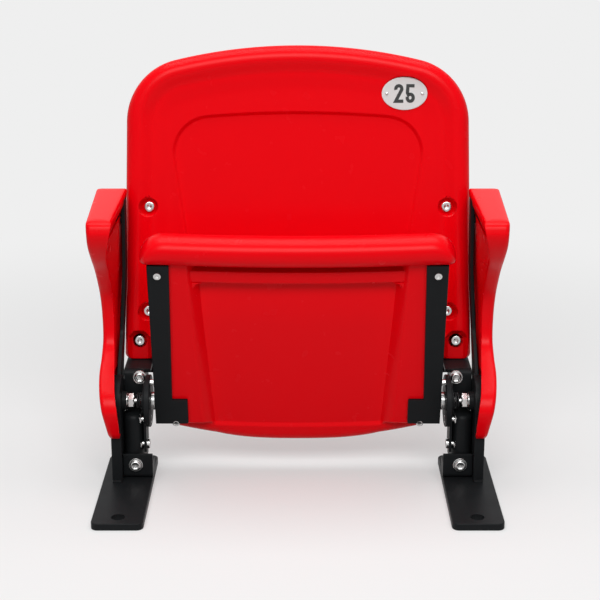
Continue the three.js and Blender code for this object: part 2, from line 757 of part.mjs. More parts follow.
const arm_slice_shares = [
  [0.000, 0.17, 0.46, 0.10, 0.10, 0.47], [0.020, 0.13, 0.52, 0.09, 0.10, 0.50],
  [0.055, 0.10, 0.60, 0.08, 0.12, 0.54], [0.100, 0.07, 0.67, 0.09, 0.16, 0.60],
  [0.150, 0.06, 0.71, 0.12, 0.27, 0.67], [0.212, 0.13, 0.76, 0.20, 0.27, 0.75],
  [0.270, 0.29, 0.79, 0.27, 0.27, 0.81], [0.320, 0.46, 0.82, 0.33, 0.27, 0.80],
  [0.385, 0.58, 0.84, 0.37, 0.27, 0.785], [0.494, 0.62, 0.87, 0.37, 0.27, 0.80],
  [0.588, 0.58, 0.90, 0.368, 0.27, 0.82], [0.670, 0.46, 0.93, 0.356, 0.27, 0.825],
  [0.744, 0.33, 0.945, 0.345, 0.27, 0.835], [0.812, 0.18, 0.96, 0.32, 0.27, 0.85],
  [0.869, 0.08, 0.97, 0.25, 0.27, 0.88], [0.906, 0.03, 0.98, 0.19, 0.18, 0.89],
  [0.945, 0.00, 0.99, 0.12, 0.05, 0.89], [0.975, 0.01, 1.00, 0.07, 0.03, 0.90],
  [0.993, 0.03, 0.995, 0.06, 0.04, 0.90], [1.000, 0.06, 0.98, 0.10, 0.08, 0.87]];

// One slice: its front, back, inner and outer edges and its height, with the edges drawn in
function armSlice(row, inset = 0) {
  const [level, front, back, inner, tuck, outer] = row;
  const depth = arm_tail - arm_nose;
  const width = arm_outer - arm_inner;
  return {
    level,
    front: arm_nose + front * depth + inset,
    back: arm_nose + back * depth - inset,
    inner: arm_inner + inner * width,
    tuck: arm_inner + tuck * width,
    outer: arm_inner + outer * width - inset,
    height: arm_foot_height + level * (arm_top_height - arm_foot_height),
  };
}

// How far back a point lies, weighted toward the pad
function armReach(level, y) {
  return level ** 3 * (y - arm_nose) / (arm_tail - arm_nose);
}

// The ring of a slice: its inner edge runs from inner at the front to tuck at the back, and
// the pad rises and splays outward toward the back
function armRing(slice, innerRound, outerRound) {
  const { front, back, inner, tuck, outer, height, level } = slice;
  const a = Math.min(innerRound, (outer - inner) * 0.3);
  const b = Math.min(outerRound, (outer - inner) * 0.5);
  const loop = [
    ...arc(outer - b, front + b, b, -Math.PI / 2, 0, 3), ...arc(outer - b, back - b, b, 0, Math.PI / 2, 3),
    ...arc(tuck + a, back - a, a, Math.PI / 2, Math.PI, 2), ...arc(inner + a, front + a, a, Math.PI, Math.PI * 1.5, 2)];
  return loop.map(([x, y]) => {
    const reach = armReach(level, y);
    const out = (x - arm_inner) / (arm_outer - arm_inner);
    return [x + arm_splay * reach * out, y, height + arm_rise * reach];
  });
}

const arm_screw_height = strap_top_height - strap_width / 2;
const arm_screw_end = arm_outer - arm_wall * 6;
const arm_rows = arm_slice_shares.length;

function armShell() {
  const outside = skin(arm_slice_shares.map((row) => armRing(armSlice(row), arm_wall / 2, arm_round)));
  const hollow = skin(arm_slice_shares.slice(1, arm_rows - 3).map((row) => {
    const slice = armSlice(row, arm_wall);
    const open = arm_inner - arm_wall;
    return armRing({ ...slice, inner: open, tuck: open }, arm_wall / 30, arm_round - arm_wall);
  }));
  const seat = upright_inner + bar_thickness + fit_gap;
  const boss = common(rodX(big_bolt_radius * 2.6, seat, arm_outer, 0, pivot_height), outside);
  const earFace = strap_outer + arm_cover_plate + fit_gap * 2;
  const ear = common(rodX(small_head_radius * 1.15, earFace, arm_outer, strap_top_y, arm_screw_height), outside);
  const shell = join(cut(outside, hollow), boss, ear);
  const [front, rear] = [bar_front - fit_gap, bar_back + fit_gap];
  const exit = box(arm_inner - cut_overrun, seat, front, rear, 0, arm_foot_height + lobe_radius / 2);
  return cut(shell, exit,
    rodX(big_bolt_radius + fit_gap, seat - cut_overrun, arm_outer, 0, pivot_height),
    rodX(big_head_radius + run_gap * 2, seat + big_head_height, arm_outer + cut_overrun, 0, pivot_height),
    rodX(small_bolt_radius + fit_gap, arm_inner, arm_screw_end, strap_top_y, arm_screw_height, small_steps));
}

function armCover() {
  const floor = strap_outer + fit_gap;
  const rings = arm_slice_shares.slice(6, arm_rows - 4).map((row) => {
    const slice = armSlice(row, arm_wall + fit_gap);
    const face = Math.max(slice.inner + arm_cover_plate / 2, floor);
    const corners = [[face, slice.front], [face + arm_cover_plate, slice.front],
      [floor + arm_cover_plate, slice.back], [floor, slice.back]];
    return corners.map(([x, y]) => [x, y, slice.height + arm_rise * armReach(slice.level, y)]);
  });
  const seat = upright_inner + bar_thickness + fit_gap;
  const rear = lobe_radius + fit_gap;
  const bar = box(floor - cut_overrun, seat, bar_front * 2, rear, 0, pivot_height + rear);
  return cut(skin(rings), bar,
    rodX(small_bolt_radius + fit_gap, arm_inner, arm_outer, strap_top_y, arm_screw_height, small_steps));
}

function armScrew() {
  const face = strap_inner - fit_gap;
  const [y, z] = [strap_top_y, arm_screw_height];
  const inside = face - small_head_height / 2;
  const body = join(rodX(small_head_radius, face - small_head_height, face, y, z),
    rodX(small_bolt_radius, inside, arm_screw_end - fit_gap * 2, y, z, small_steps));
  return cut(body, rodX(small_head_radius * socket_share, face - small_head_height * 2, inside, y, z, 6));
}

const pin_end = channel_inner + pin_reach;
const arm_bolt_tip = pin_end + arm_bolt_gap;

function armBolt() {
  const face = upright_inner + bar_thickness + big_head_height + fit_gap * 2;
  const inside = face + big_head_height / 2;
  const head = rodX(big_head_radius, face, face + big_head_height, 0, pivot_height);
  const socket = rodX(big_head_radius * socket_share, inside, face + big_head_height * 2, 0, pivot_height, 6);
  return cut(join(head, rodX(big_bolt_radius, arm_bolt_tip, inside, 0, pivot_height)), socket);
}

function armNut() {
  const face = upright_inner - fit_gap;
  const middle = face - washer_thickness;
  const nut = rodX(big_bolt_radius * nut_reach_share, middle - big_bolt_radius * 2 * nut_height_share,
    middle + fit_gap, 0, pivot_height, 6);
  const washer = rodX(big_bolt_radius * 2, middle, face, 0, pivot_height);
  return cut(join(nut, washer), rodX(big_bolt_radius + fit_gap, arm_bolt_tip, upright_inner, 0, pivot_height));
}

// Seat shell: cross-sections in Y and Z at stations across its width

const slab_radius = (slab_top - slab_bottom) / 2;
const seat_station_shares = [0, 0.2, 0.4, 0.6];

function dish(x) {
  return seat_dish * (1 - (x / lip_half) ** 2);
}

function seatSection(frontX, backX, sunk) {
  const share = Math.abs(frontX) / seat_half;
  const back = seat_back - (seat_back - seat_back_side) * share ** 2;
  const flat = sunk ? under_panel : under_flat;
  const ledge = sunk ? under_panel - ledge_rise : under_flat;
  const boxEnd = sunk ? box_back + lip_radius / 3 : box_back;
  const neck = seat_front + lip_radius;
  const step = lip_radius / 5;
  const top = [
    ...arc(back - slab_radius, slab_bottom + slab_radius, slab_radius, -Math.PI / 2, Math.PI / 2, 5),
    ...between([back - slab_radius, slab_top], [neck, slab_top], 4),
    [neck, slab_top - step]];
  const under = [[neck, under_flat],
    [neck + lip_radius - step / 4, sunk ? ledge + step / 2 : under_flat], [neck + lip_radius + step / 2, ledge],
    [neck + lip_radius * 1.6, ledge], [neck + lip_radius * 1.6 + step, flat],
    ...between([neck + lip_radius * 1.6 + step, flat], [boxEnd, flat], 4),
    [boxEnd, flat]];
  const points = [...top, ...under, [boxEnd + step / 2, slab_bottom]];
  return points.map(([y, z], i) => {
    const along = (y - seat_front) / (seat_back - seat_front);
    const x = frontX + (backX - frontX) * along;
    const level = !sunk && i >= top.length && i < points.length - 1;
    return [x, y, level ? z : z - dish(x)];
  });
}

function seatBody() {
  const right = seat_station_shares.map((share) => [share * wall_front_x, share * wall_back_x, true]);
  right.push([wall_front_x - wall_slope, wall_back_x - wall_slope, true]);
  right.push([wall_front_x, wall_back_x, false]);
  right.push([(wall_front_x + seat_half) / 2, (wall_back_x + seat_half) / 2, false]);
  right.push([seat_half, seat_half, false]);
  const left = right.slice(1).reverse().map(([a, b, sunk]) => [-a, -b, sunk]);
  return skin([...left, ...right].map(([a, b, sunk]) => seatSection(a, b, sunk)));
}


function seatLip() {
  const shares = [0, 0.17, 0.34, 0.51, 0.68, 0.85, 0.9, 0.94, 0.97, 0.99, 1];
  const all = [...shares.slice(1).reverse().map((s) => -s), ...shares];
  const back = seat_front + lip_radius * 2;
  return skin(all.map((share) => {
    const x = share * lip_half;
    const out = Math.max(0, (Math.abs(x) - lip_half + lip_end) / lip_end);
    const front = seat_front + lip_end * (1 - Math.sqrt(1 - (out * 0.98) ** 2));
    const half = lip_height / 2;
    const tall = half * (1 - 0.35 * out ** 6);
    const round = arc(0, 0, 1, 0, Math.PI * 2, 16).slice(0, -1);
    return round.map(([u, v]) => (
      [x, (front + back) / 2 + u * (back - front) / 2, slab_top - half + v * tall - dish(x)]));
  }));
}

const bracket_screw_x = seat_bracket_outer - seat_bracket_flat / 2;
const bracket_face = under_flat - fit_gap - seat_bracket_plate;
const front_screw_y = seat_bracket_front + seat_screw_inset;
const rear_screw_x = seat_bracket_outer - seat_bracket_foot * 0.62;
const rear_screw_y = seat_bracket_foot_depth - seat_screw_back_inset;
const bracket_screws = [[bracket_screw_x, front_screw_y], [rear_screw_x, rear_screw_y]];
const seat_screw_radius = small_bolt_radius * seat_screw_share;
const bracket_inner = seat_bracket_outer - seat_bracket_plate;

function seatShell() {
  const tools = [];
  for (const side of [-1, 1]) {
    const edge = [side * (seat_half - pin_room_depth), side * (seat_half + cut_overrun)].sort((a, b) => a - b);
    tools.push(rodX(pin_radius + pin_room, ...edge, 0, 0));
    tools.push(rodX(stop_radius + pin_room / 2, ...edge, -stop_orbit, 0, small_steps));
    for (const [x, y] of bracket_screws) {
      const [from, to] = [under_flat - cut_overrun, under_flat + seat_screw_depth];
      tools.push(rodZ(seat_screw_radius + fit_gap, from, to, side * x, y, small_steps));
    }
  }
  return cut(join(seatBody(), seatLip()), ...tools);
}

function seatBracket() {
  const [x0, x1] = [seat_bracket_outer - seat_bracket_flat, seat_bracket_outer];
  const footX = seat_bracket_outer - seat_bracket_foot;
  const [front, rear, corner] = [seat_bracket_front, seat_bracket_foot_depth, seat_bracket_corner];
  const flat = outline([
    [x0, front], [x1, front], [x1, rear - corner], [x1 - corner, rear], [footX + corner, rear],
    [footX, rear - corner], [footX, 0], [x0, 0]]);
  const [top, round] = [bracket_face + seat_bracket_wall, seat_bracket_round];
  const wall = outline([
    [front, bracket_face], [rear, bracket_face], [rear, top - round],
    ...arc(rear - round, top - round, round, 0, Math.PI / 2, 4), [-stop_orbit - seat_bracket_lead, top],
    [front / 2, top - seat_bracket_step], [front, top - seat_bracket_step - corner]]);
  const plate = alongZ(flat, bracket_face, bracket_face + seat_bracket_plate);
  const body = join(plate, alongX(wall, bracket_inner, x1));
  const [from, to] = [bracket_inner - cut_overrun, x1 + cut_overrun];
  return cut(body,
    rodX(pin_radius + fit_gap, from, to, 0, 0), rodX(stop_radius + fit_gap, from, to, -stop_orbit, 0),
    ...bracket_screws.map(([x, y]) => (
      rodZ(seat_screw_radius + fit_gap, bracket_face - cut_overrun, 0, x, y, small_steps))));
}

function seatScrew([x, y]) {
  const face = bracket_face - fit_gap;
  const [head, socket, tall] = [small_head_radius * 0.75, small_head_radius * 0.33, small_head_height * 0.8];
  const body = join(rodZ(head, face - tall, face, x, y),
    rodZ(seat_screw_radius, face - tall / 2, under_flat + seat_screw_depth - run_gap * 2, x, y, small_steps));
  return cut(body, rodZ(socket, face - tall * 2, face - tall / 2, x, y, 6));
}

// A pin riveted in the bracket's wall, turned with a chamfer at its free end
function turnedPin(radius, end, y) {
  const chamfer = radius / 5;
  const profile = [[0, 0], [radius, 0], [radius, end - bracket_inner - chamfer],
    [radius - chamfer, end - bracket_inner], [0, end - bracket_inner]];
  const geometry = new THREE.LatheGeometry(profile.map(([r, h]) => new THREE.Vector2(r, h)), round_steps);
  return geometry.rotateZ(-Math.PI / 2).translate(bracket_inner, y, 0);
}

function pivotPin() {
  return toGeometry(toSolid(turnedPin(pin_radius, pin_end, 0)));
}

function stopPin() {
  return toGeometry(toSolid(turnedPin(stop_radius, hinge_outer - stop_margin, -stop_orbit)));
}

function pivotWasher() {
  const [from, to] = [seat_bracket_outer + fit_gap, disc_inner - fit_gap];
  const ring = rodX(pivot_washer_radius, from, to, 0, pivot_height);
  return cut(ring, rodX(pin_radius + fit_gap, bracket_inner, hinge_outer, 0, pivot_height));
}

function pivotBush() {
  const ring = rodX(pin_radius + bush_wall, disc_inner, hinge_outer + tail_thickness, 0, pivot_height);
  return cut(ring, rodX(pin_radius + fit_gap, bracket_inner, upright_inner, 0, pivot_height));
}

// The spring's centre line: a leg to the housing, the turns, then half a turn in to the pin
function springPath() {
  const start = hinge_outer + tail_thickness + wire_radius + fit_gap * 2;
  const path = [];
  const legs = 3;
  for (let i = 0; i < legs; i += 1) {
    path.push([start, (housing_front - fit_gap) * (1 - i / legs), pivot_height + coil_radius]);
  }
  const steps = coil_turns * steps_per_turn;
  for (let i = 0; i <= steps; i += 1) {
    const turn = i / steps_per_turn;
    const angle = Math.PI / 2 + Math.PI * 2 * turn;
    const inward = Math.max(0, turn - coil_turns + 0.5) * 2;
    const radius = coil_radius - inward * (coil_radius - pin_radius - wire_radius - fit_gap);
    path.push([start + coil_pitch * turn, radius * Math.cos(angle), pivot_height + radius * Math.sin(angle)]);
  }
  return path.map((p) => new THREE.Vector3(...p));
}

function wire(path) {
  return skin(path.map((point, i) => {
    const along = path[Math.min(i + 1, path.length - 1)].clone().sub(path[Math.max(i - 1, 0)]).normalize();
    const side = new THREE.Vector3(1, 0, 0).addScaledVector(along, -along.x).normalize();
    const up = along.clone().cross(side);
    return arc(0, 0, wire_radius, 0, Math.PI * 2, wire_sides).slice(0, -1).map(([a, b]) => (
      point.clone().addScaledVector(side, a).addScaledVector(up, b).toArray()));
  }));
}

function leastSpringGap(path) {
  let least = Infinity;
  path.forEach((a, i) => path.slice(i + steps_per_turn / 2).forEach((b) => {
    least = Math.min(least, a.distanceTo(b));
  }));
  return least - wire_radius * 2;
}

// Assembly

const model = new THREE.Group();
const back = new THREE.Group();
back.rotation.x = -radians(back_lean_degrees);
back.position.set(0, back_foot_y, back_foot_height);
const seat = new THREE.Group();
seat.rotation.x = -radians(90 - fold_lean_degrees);
seat.position.set(0, 0, pivot_height);
model.add(back, seat);

function add(group, name, geometry, material) {
  const mesh = new THREE.Mesh(geometry, material);
  mesh.name = name;
  group.add(mesh);
}

function addPair(group, name, geometry, material) {
  add(group, `${name}_right`, geometry, material);
  add(group, `${name}_left`, mirrored(geometry), material);
}

add(back, 'back_shell', backShell(), red_plastic);
add(back, 'number_plate', numberPlate(), white_plate);
add(back, 'number_rivet_left', numberRivet(-plate_rivet_x), zinc);
add(back, 'number_rivet_right', numberRivet(plate_rivet_x), zinc);
addPair(back, 'back_strap', backStrap(), steel_black);
['lower', 'middle', 'upper'].forEach((place, i) => addPair(back, `back_bolt_${place}`, backBolt(i), zinc));

addPair(model, 'foot_plate', footPlate(), steel_black);
addPair(model, 'upright', upright(), steel_black);
addPair(model, 'foot_bracket', footBracket(), steel_black);
addPair(model, 'leg_channel', legChannel(), steel_black);
addPair(model, 'foot_bolt', footBolt(), zinc);
addPair(model, 'hinge_housing', hingeHousing(), steel_black);
addPair(model, 'housing_bolt', housingBolt(), zinc);
addPair(model, 'hinge_plate', hingePlate(), steel_black);
addPair(model, 'hinge_screw_upper', hingeScrew(0), zinc);
addPair(model, 'hinge_screw_lower', hingeScrew(1), zinc);
addPair(model, 'pivot_bush', pivotBush(), bush_plastic);
addPair(model, 'pivot_washer', pivotWasher(), zinc);
addPair(model, 'arm_shell', armShell(), red_plastic);
addPair(model, 'arm_cover', armCover(), red_plastic);
addPair(model, 'arm_bolt', armBolt(), zinc);
addPair(model, 'arm_nut', armNut(), zinc);
addPair(model, 'arm_screw', armScrew(), zinc);
const spring_path = springPath();
console.log(`return spring: least gap to itself ${leastSpringGap(spring_path).toFixed(2)} mm`);
addPair(model, 'return_spring', wire(spring_path), spring_steel);

add(seat, 'seat_shell', seatShell(), red_plastic);
addPair(seat, 'seat_bracket', seatBracket(), steel_black);
addPair(seat, 'seat_screw_front', seatScrew(bracket_screws[0]), zinc);
addPair(seat, 'seat_screw_rear', seatScrew(bracket_screws[1]), zinc);
addPair(seat, 'pivot_pin', pivotPin(), zinc);
addPair(seat, 'stop_pin', stopPin(), zinc);

model.updateMatrixWorld(true);
const extent = new THREE.Box3().setFromObject(model, true);
model.position.y = -(extent.min.y + extent.max.y) / 2;
console.log(`pivot at Y ${model.position.y.toFixed(3)} Z ${pivot_height} mm`);

export default model;
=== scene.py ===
import json
import math

import bpy
import bmesh
from mathutils import Matrix, Vector


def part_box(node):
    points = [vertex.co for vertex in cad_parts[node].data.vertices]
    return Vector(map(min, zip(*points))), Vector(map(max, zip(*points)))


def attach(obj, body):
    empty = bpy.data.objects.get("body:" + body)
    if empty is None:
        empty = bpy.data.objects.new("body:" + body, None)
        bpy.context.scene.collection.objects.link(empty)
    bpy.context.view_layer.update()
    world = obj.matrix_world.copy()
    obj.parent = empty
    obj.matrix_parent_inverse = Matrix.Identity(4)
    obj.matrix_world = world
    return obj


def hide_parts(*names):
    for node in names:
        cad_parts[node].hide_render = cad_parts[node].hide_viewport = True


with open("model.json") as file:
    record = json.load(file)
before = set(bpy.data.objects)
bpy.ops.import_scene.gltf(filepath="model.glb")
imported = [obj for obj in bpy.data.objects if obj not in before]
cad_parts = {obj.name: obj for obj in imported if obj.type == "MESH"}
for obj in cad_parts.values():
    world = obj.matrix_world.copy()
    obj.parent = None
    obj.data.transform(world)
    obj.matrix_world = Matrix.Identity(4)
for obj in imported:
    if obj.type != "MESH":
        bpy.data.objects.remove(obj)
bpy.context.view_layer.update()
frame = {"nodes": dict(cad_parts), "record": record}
nodes = frame["nodes"]

# Shapes are drawn in millimetres, each in its own plane, and these places put them in the shared
# frame, whose X runs across, -Y to the front and Z up. The pivot is read from the frame.

MM = 0.001
fit_gap = 0.3
hub = 0.2  # a turned profile ends at this radius, so that its last ring isn't a point
pivot_low, pivot_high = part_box("pivot_pin_left")
pivot_y = (pivot_low[1] + pivot_high[1]) / 2 / MM
pivot_z = (pivot_low[2] + pivot_high[2]) / 2 / MM
back_foot_y, back_foot_z = pivot_y + 71, 157
back_lean = math.radians(8)
fold_lean = math.radians(15)
straight = Matrix.Translation((0, pivot_y, 0))
leaning = Matrix.Translation((0, back_foot_y, back_foot_z)) @ Matrix.Rotation(-back_lean, 4, "X")
folded = Matrix.Translation((0, pivot_y, pivot_z)) @ Matrix.Rotation(fold_lean - math.pi / 2, 4, "X")
mirror = Matrix.Scale(-1, 4, (1, 0, 0))


# Curves and meshes

def arc(cx, cy, radius, start, end, steps):
    turn = [start + (end - start) * i / steps for i in range(steps + 1)]
    return [(cx + radius * math.cos(a), cy + radius * math.sin(a)) for a in turn]


def between(a, b, steps):
    return [(a[0] + (b[0] - a[0]) * i / steps, a[1] + (b[1] - a[1]) * i / steps) for i in range(1, steps)]


def clamp(share):
    return min(1, max(0, share))


def ease(share):
    return (1 - math.cos(math.pi * clamp(share))) / 2


def fall(share, full=1):
    """How far a unit circle has dropped at this share of its radius. A full below 1 keeps it open."""
    return 1 - math.sqrt(1 - share ** 2 * full)


def mix(a, b, share):
    return a + (b - a) * share


def rounded(corners, steps=6, close=False):
    """A line through corners (x, y, radius), with each inner corner turned into an arc."""
    line = []
    count = len(corners)
    for i, (x, y, radius) in enumerate(corners):
        if radius == 0 or (not close and i in (0, count - 1)):
            line.append((x, y))
            continue
        here = Vector((x, y))
        before = (Vector(corners[i - 1][:2]) - here)
        after = (Vector(corners[(i + 1) % count][:2]) - here)
        half = before.angle(after) / 2
        reach = min(radius / math.tan(half), before.length * 0.49, after.length * 0.49)
        start = here + before.normalized() * reach
        end = here + after.normalized() * reach
        for k in range(steps + 1):
            t = k / steps
            line.append(tuple(start * (1 - t) ** 2 + here * 2 * t * (1 - t) + end * t ** 2))
    return line


def put(name, data):
    """A new object in the scene."""
    piece = bpy.data.objects.new(name, data)
    bpy.context.scene.collection.objects.link(piece)
    return piece


def make(name, points, faces, place=Matrix.Identity(4)):
    mesh = bpy.data.meshes.new(name)
    mesh.from_pydata([(place @ Vector(p)) * MM for p in points], [], faces)
    shell = bmesh.new()
    shell.from_mesh(mesh)
    bmesh.ops.remove_doubles(shell, verts=shell.verts, dist=0.002 * MM)
    bmesh.ops.recalc_face_normals(shell, faces=shell.faces)
    shell.to_mesh(mesh)
    shell.free()
    mesh.shade_smooth()
    return put(name, mesh)


def skin(rings, ends=True):
    count = len(rings[0])
    points = [p for ring in rings for p in ring]
    faces = []
    for r in range(len(rings) - 1):
        for i in range(count):
            a, b = r * count + i, r * count + (i + 1) % count
            faces.append((a, b, b + count, a + count))
    if ends:
        faces.append(tuple(range(count))[::-1])
        faces.append(tuple(range(len(points) - count, len(points))))
    return points, faces


def loft(name, rings, place=Matrix.Identity(4)):
    return make(name, *skin(rings), place)


def merged(name, pieces):
    """One object from several, which are deleted."""
    points, faces = [], []
    for piece in pieces:
        start = len(points)
        points += [v.co / MM for v in piece.data.vertices]
        faces += [tuple(start + v for v in f.vertices) for f in piece.data.polygons]
        bpy.data.objects.remove(piece)
    return make(name, points, faces)


def carve(piece, tools, operation="DIFFERENCE"):
    for tool in tools:
        step = piece.modifiers.new("carve", "BOOLEAN")
        step.operation = operation
        step.solver = "MANIFOLD"
        step.object = tool
        shaped = bpy.data.meshes.new_from_object(
            piece.evaluated_get(bpy.context.evaluated_depsgraph_get()))
        piece.modifiers.clear()
        piece.data = shaped
        bpy.data.objects.remove(tool)
    return piece


def round_edges(piece, width, degrees=35, clamp=True):
    """Rounds the edges sharper than this angle with a modifier."""
    step = piece.modifiers.new("edge_round", "BEVEL")
    step.limit_method = "ANGLE"
    step.angle_limit = math.radians(degrees)
    step.width = width * MM
    step.segments = 2
    step.use_clamp_overlap = clamp


def crisp(piece, degrees=35, bevel=0.0):
    """Smooth shading that breaks at edges sharper than this angle, or a small round on them."""
    if bevel:
        round_edges(piece, bevel, degrees, clamp=False)
    mesh = piece.data
    shell = bmesh.new()
    shell.from_mesh(mesh)
    for edge in shell.edges:
        soft = len(edge.link_faces) != 2 or edge.calc_face_angle() < math.radians(degrees)
        edge.smooth = bool(bevel) or soft
    shell.to_mesh(mesh)
    shell.free()
    if bevel:
        mesh.shade_smooth()
    step = piece.modifiers.new("face_weight", "WEIGHTED_NORMAL")
    step.keep_sharp = True
    step.weight = 50
    return piece


def turned(profile, sides=48):
    """Rings round Z from (radius, height) pairs; a third value is the count of flats."""
    rings = []
    for radius, height, *flats in profile:
        ring = []
        for i in range(sides):
            angle = 2 * math.pi * i / sides
            reach = radius
            if flats:
                part = 2 * math.pi / flats[0]
                reach = radius * math.cos(part / 2) / math.cos(angle % part - part / 2)
            ring.append((reach * math.cos(angle), reach * math.sin(angle), height))
        rings.append(ring)
    return rings


def turned_band(name, profile, place, sides):
    """A ring with a bore, from a closed profile."""
    rings = turned(profile, sides)
    return make(name, *skin(rings + rings[:1], ends=False), place)


def to_y(x, z, y=0):
    """Turns a piece drawn round Z so that it points to +Y, with its seat at this place."""
    return Matrix.Translation((x, y, z)) @ Matrix.Rotation(-math.pi / 2, 4, "X")


def to_x(y, z, x=0):
    """The same for a piece that points to +X."""
    return Matrix.Translation((x, y, z)) @ Matrix.Rotation(math.pi / 2, 4, "Y")


def dress(piece, body, slot_name, *replaced):
    """Gives a finished piece its material and its body, and hides the nodes that it replaces."""
    piece.data.materials.clear()
    piece.data.materials.append(slots[slot_name])
    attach(piece, body)
    if replaced:
        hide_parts(*replaced)
    return piece


def flip(piece):
    """Mirrors a finished mesh to the left side."""
    piece.data.transform(mirror)
    piece.data.flip_normals()
    return piece


def mirrored(name, piece):
    """A copy of a finished piece on the left side."""
    return flip(put(name, piece.data.copy()))


def pair(name, pieces, body="frame", slot_name="zinc", degrees=38, bevel=0.0):
    """The right piece and its mirror image on the left, each standing for its CAD node."""
    right = merged(name + "_right_fine", pieces)
    left = mirrored(name + "_left_fine", right)
    for piece, side in ((right, "_right"), (left, "_left")):
        dress(crisp(piece, degrees, bevel), body, slot_name, name + side)


def steel_pair(name, body, solids, holes=(), bevel=0.5):
    """One black steel piece for each side, from joined solids less the holes."""
    carve(solids[0], solids[1:], "UNION")
    carve(solids[0], holes)
    pair(name, solids[:1], body, "black_steel", 30, bevel)


def prism(points, start, end, along, place=straight):
    """A solid with this outline between two planes across X, Y or Z."""
    rings = []
    for at in (start, end):
        rings.append([{"x": (at, a, b), "y": (a, at, b), "z": (a, b, at)}[along] for a, b in points])
    return loft("prism", rings, place)


def box_outline(a0, a1, b0, b1, radius):
    return rounded([(a0, b0, radius), (a1, b0, radius), (a1, b1, radius), (a0, b1, radius)], 6, close=True)


# Back shell, in its leaning plane: x across, y to the rear, z up

back_height, back_half_foot, back_half_top = 446.7, 249.2, 241.2
back_corner, back_crown, back_foot_corner = 90, 740, 10
back_half_thickness, back_rim, back_face, back_hollow = 15.8, 18, 9.5, 5.5
panel_half, panel_half_foot, panel_top, panel_foot = 175, 148, 353, 62
panel_corner, panel_crown, panel_floor = 52, 1500, 3.2
back_bolts = [(227.4, 27.5), (214, 70.5), (211, 220.5)]
recess_radius, recess_floor, pocket_half, pocket_floor = 12.5, 1, 16, 3
tool_reach = 40
back_middle = 215
side_tilt = math.atan((back_half_foot - back_half_top) / (back_height - back_corner))


def crowned(corner_x, corner, crown, crown_middle, foot, tilt_over, steps, grow):
    """An outline with two foot corners, leaning sides, two top corners and a crowned top, moved
    outwards by grow. foot is the corner's x, z and radius, tilt_over gives the sides' lean."""
    corner_z = crown_middle + math.sqrt((crown - corner) ** 2 - corner_x ** 2)
    turn = math.atan2(corner_z - crown_middle, corner_x)
    tilt = tilt_over(corner_z)
    right = arc(*foot, -math.pi / 2, tilt, steps[0])
    right += arc(corner_x, corner_z, corner + grow, tilt, turn, steps[1])
    right += arc(0, crown_middle, crown + grow, turn, math.pi / 2, steps[1])[1:]
    return right + [(-x, z) for x, z in right[-2::-1]]


def back_outline(inset):
    foot_round = max(back_foot_corner - inset, 2)
    foot = (back_half_foot - inset - foot_round, inset + foot_round, foot_round)
    return crowned(back_half_top - back_corner, back_corner, back_crown, back_height - back_crown, foot,
                   lambda z: side_tilt, (12, 40), -inset)


def panel_outline(grow):
    """The raised line round the middle of the back, moved outwards by grow."""
    foot_z = panel_foot + panel_corner
    foot = (panel_half_foot - panel_corner, foot_z, panel_corner + grow)
    return crowned(panel_half - panel_corner, panel_corner, panel_crown, panel_top - panel_crown, foot,
                   lambda z: -math.atan((panel_half - panel_half_foot) / (z - foot_z)), (24, 24), grow)


def ray_angles():
    """Even rays round the back's middle, with more of them at the two foot corners."""
    angles = [2 * math.pi * i / 420 for i in range(420)]
    foot = math.atan2(-back_middle, back_half_foot)
    for side in (foot, math.pi - foot):
        angles += [side + 0.0045 * (i - 12) + 0.0011 for i in range(25)]
    return sorted(a % (2 * math.pi) for a in angles)


def radial(line, angles, middle):
    """Where rays from the middle meet a closed line that goes once round it."""
    polar = sorted((math.atan2(z - middle, x) % (2 * math.pi), x, z - middle) for x, z in line)
    first, last = polar[0], polar[-1]
    polar = [(last[0] - 2 * math.pi, *last[1:])] + polar + [(first[0] + 2 * math.pi, *first[1:])]
    points, k = [], 0
    for a in angles:
        while polar[k + 1][0] < a:
            k += 1
        (_, x0, z0), (_, x1, z1) = polar[k], polar[k + 1]
        across, up = -math.sin(a), math.cos(a)
        near, far = x0 * across + z0 * up, x1 * across + z1 * up
        share = near / (near - far) if near != far else 0
        points.append((mix(x0, x1, share), mix(z0, z1, share) + middle))
    return points


def shrunk(line, share):
    return [(x * share, back_middle + (z - back_middle) * share) for x, z in line]


def back_rings():
    """Rings from the middle of the rear, over the rim, to the middle of the raised panel."""
    angles = ray_angles()
    rings = []

    def place(line, y):
        rings.append([(x, y, z) for x, z in line])

    def outline(line, y):
        place(radial(line, angles, back_middle), y)

    def slope(first, steps, reach, level):
        for i in range(first, steps + 1):
            outline(back_outline(mix(*reach, i / steps)), mix(*level, ease(i / steps)))

    rear = back_half_thickness - back_hollow / 3
    deep = radial(back_outline(back_rim * 3), angles, back_middle)
    for share in (0.02, 0.25, 0.5, 0.75, 1):
        place(shrunk(deep, share), rear)
    slope(0, 8, (back_rim * 2.1, back_rim), (rear, back_half_thickness))
    for i in range(1, 25):
        angle = math.pi / 2 - math.pi * i / 24
        outline(back_outline(back_rim * (1 - math.cos(angle))), back_half_thickness * math.sin(angle))
    field = (back_face + back_hollow) / 2
    slope(1, 12, (back_rim, back_rim * 2.2), (-back_half_thickness, -back_face))
    slope(1, 8, (back_rim * 2.2, back_rim * 3.4), (-back_face, -field))
    edge = [(x, z) for x, _, z in rings[-1]]
    near = radial(panel_outline(5), angles, back_middle)
    for i in range(1, 9):
        place([(mix(a[0], b[0], i / 8), mix(a[1], b[1], i / 8)) for a, b in zip(edge, near)], -field)
    for i in range(13):
        outline(panel_outline(mix(3.2, -3.2, i / 12)), mix(-field, -panel_floor, ease(i / 12)))
    inner = radial(panel_outline(-5), angles, back_middle)
    for share in (1, 0.9, 0.75, 0.6, 0.45, 0.3, 0.15, 0.02):
        place(shrunk(inner, share), -panel_floor)
    return rings


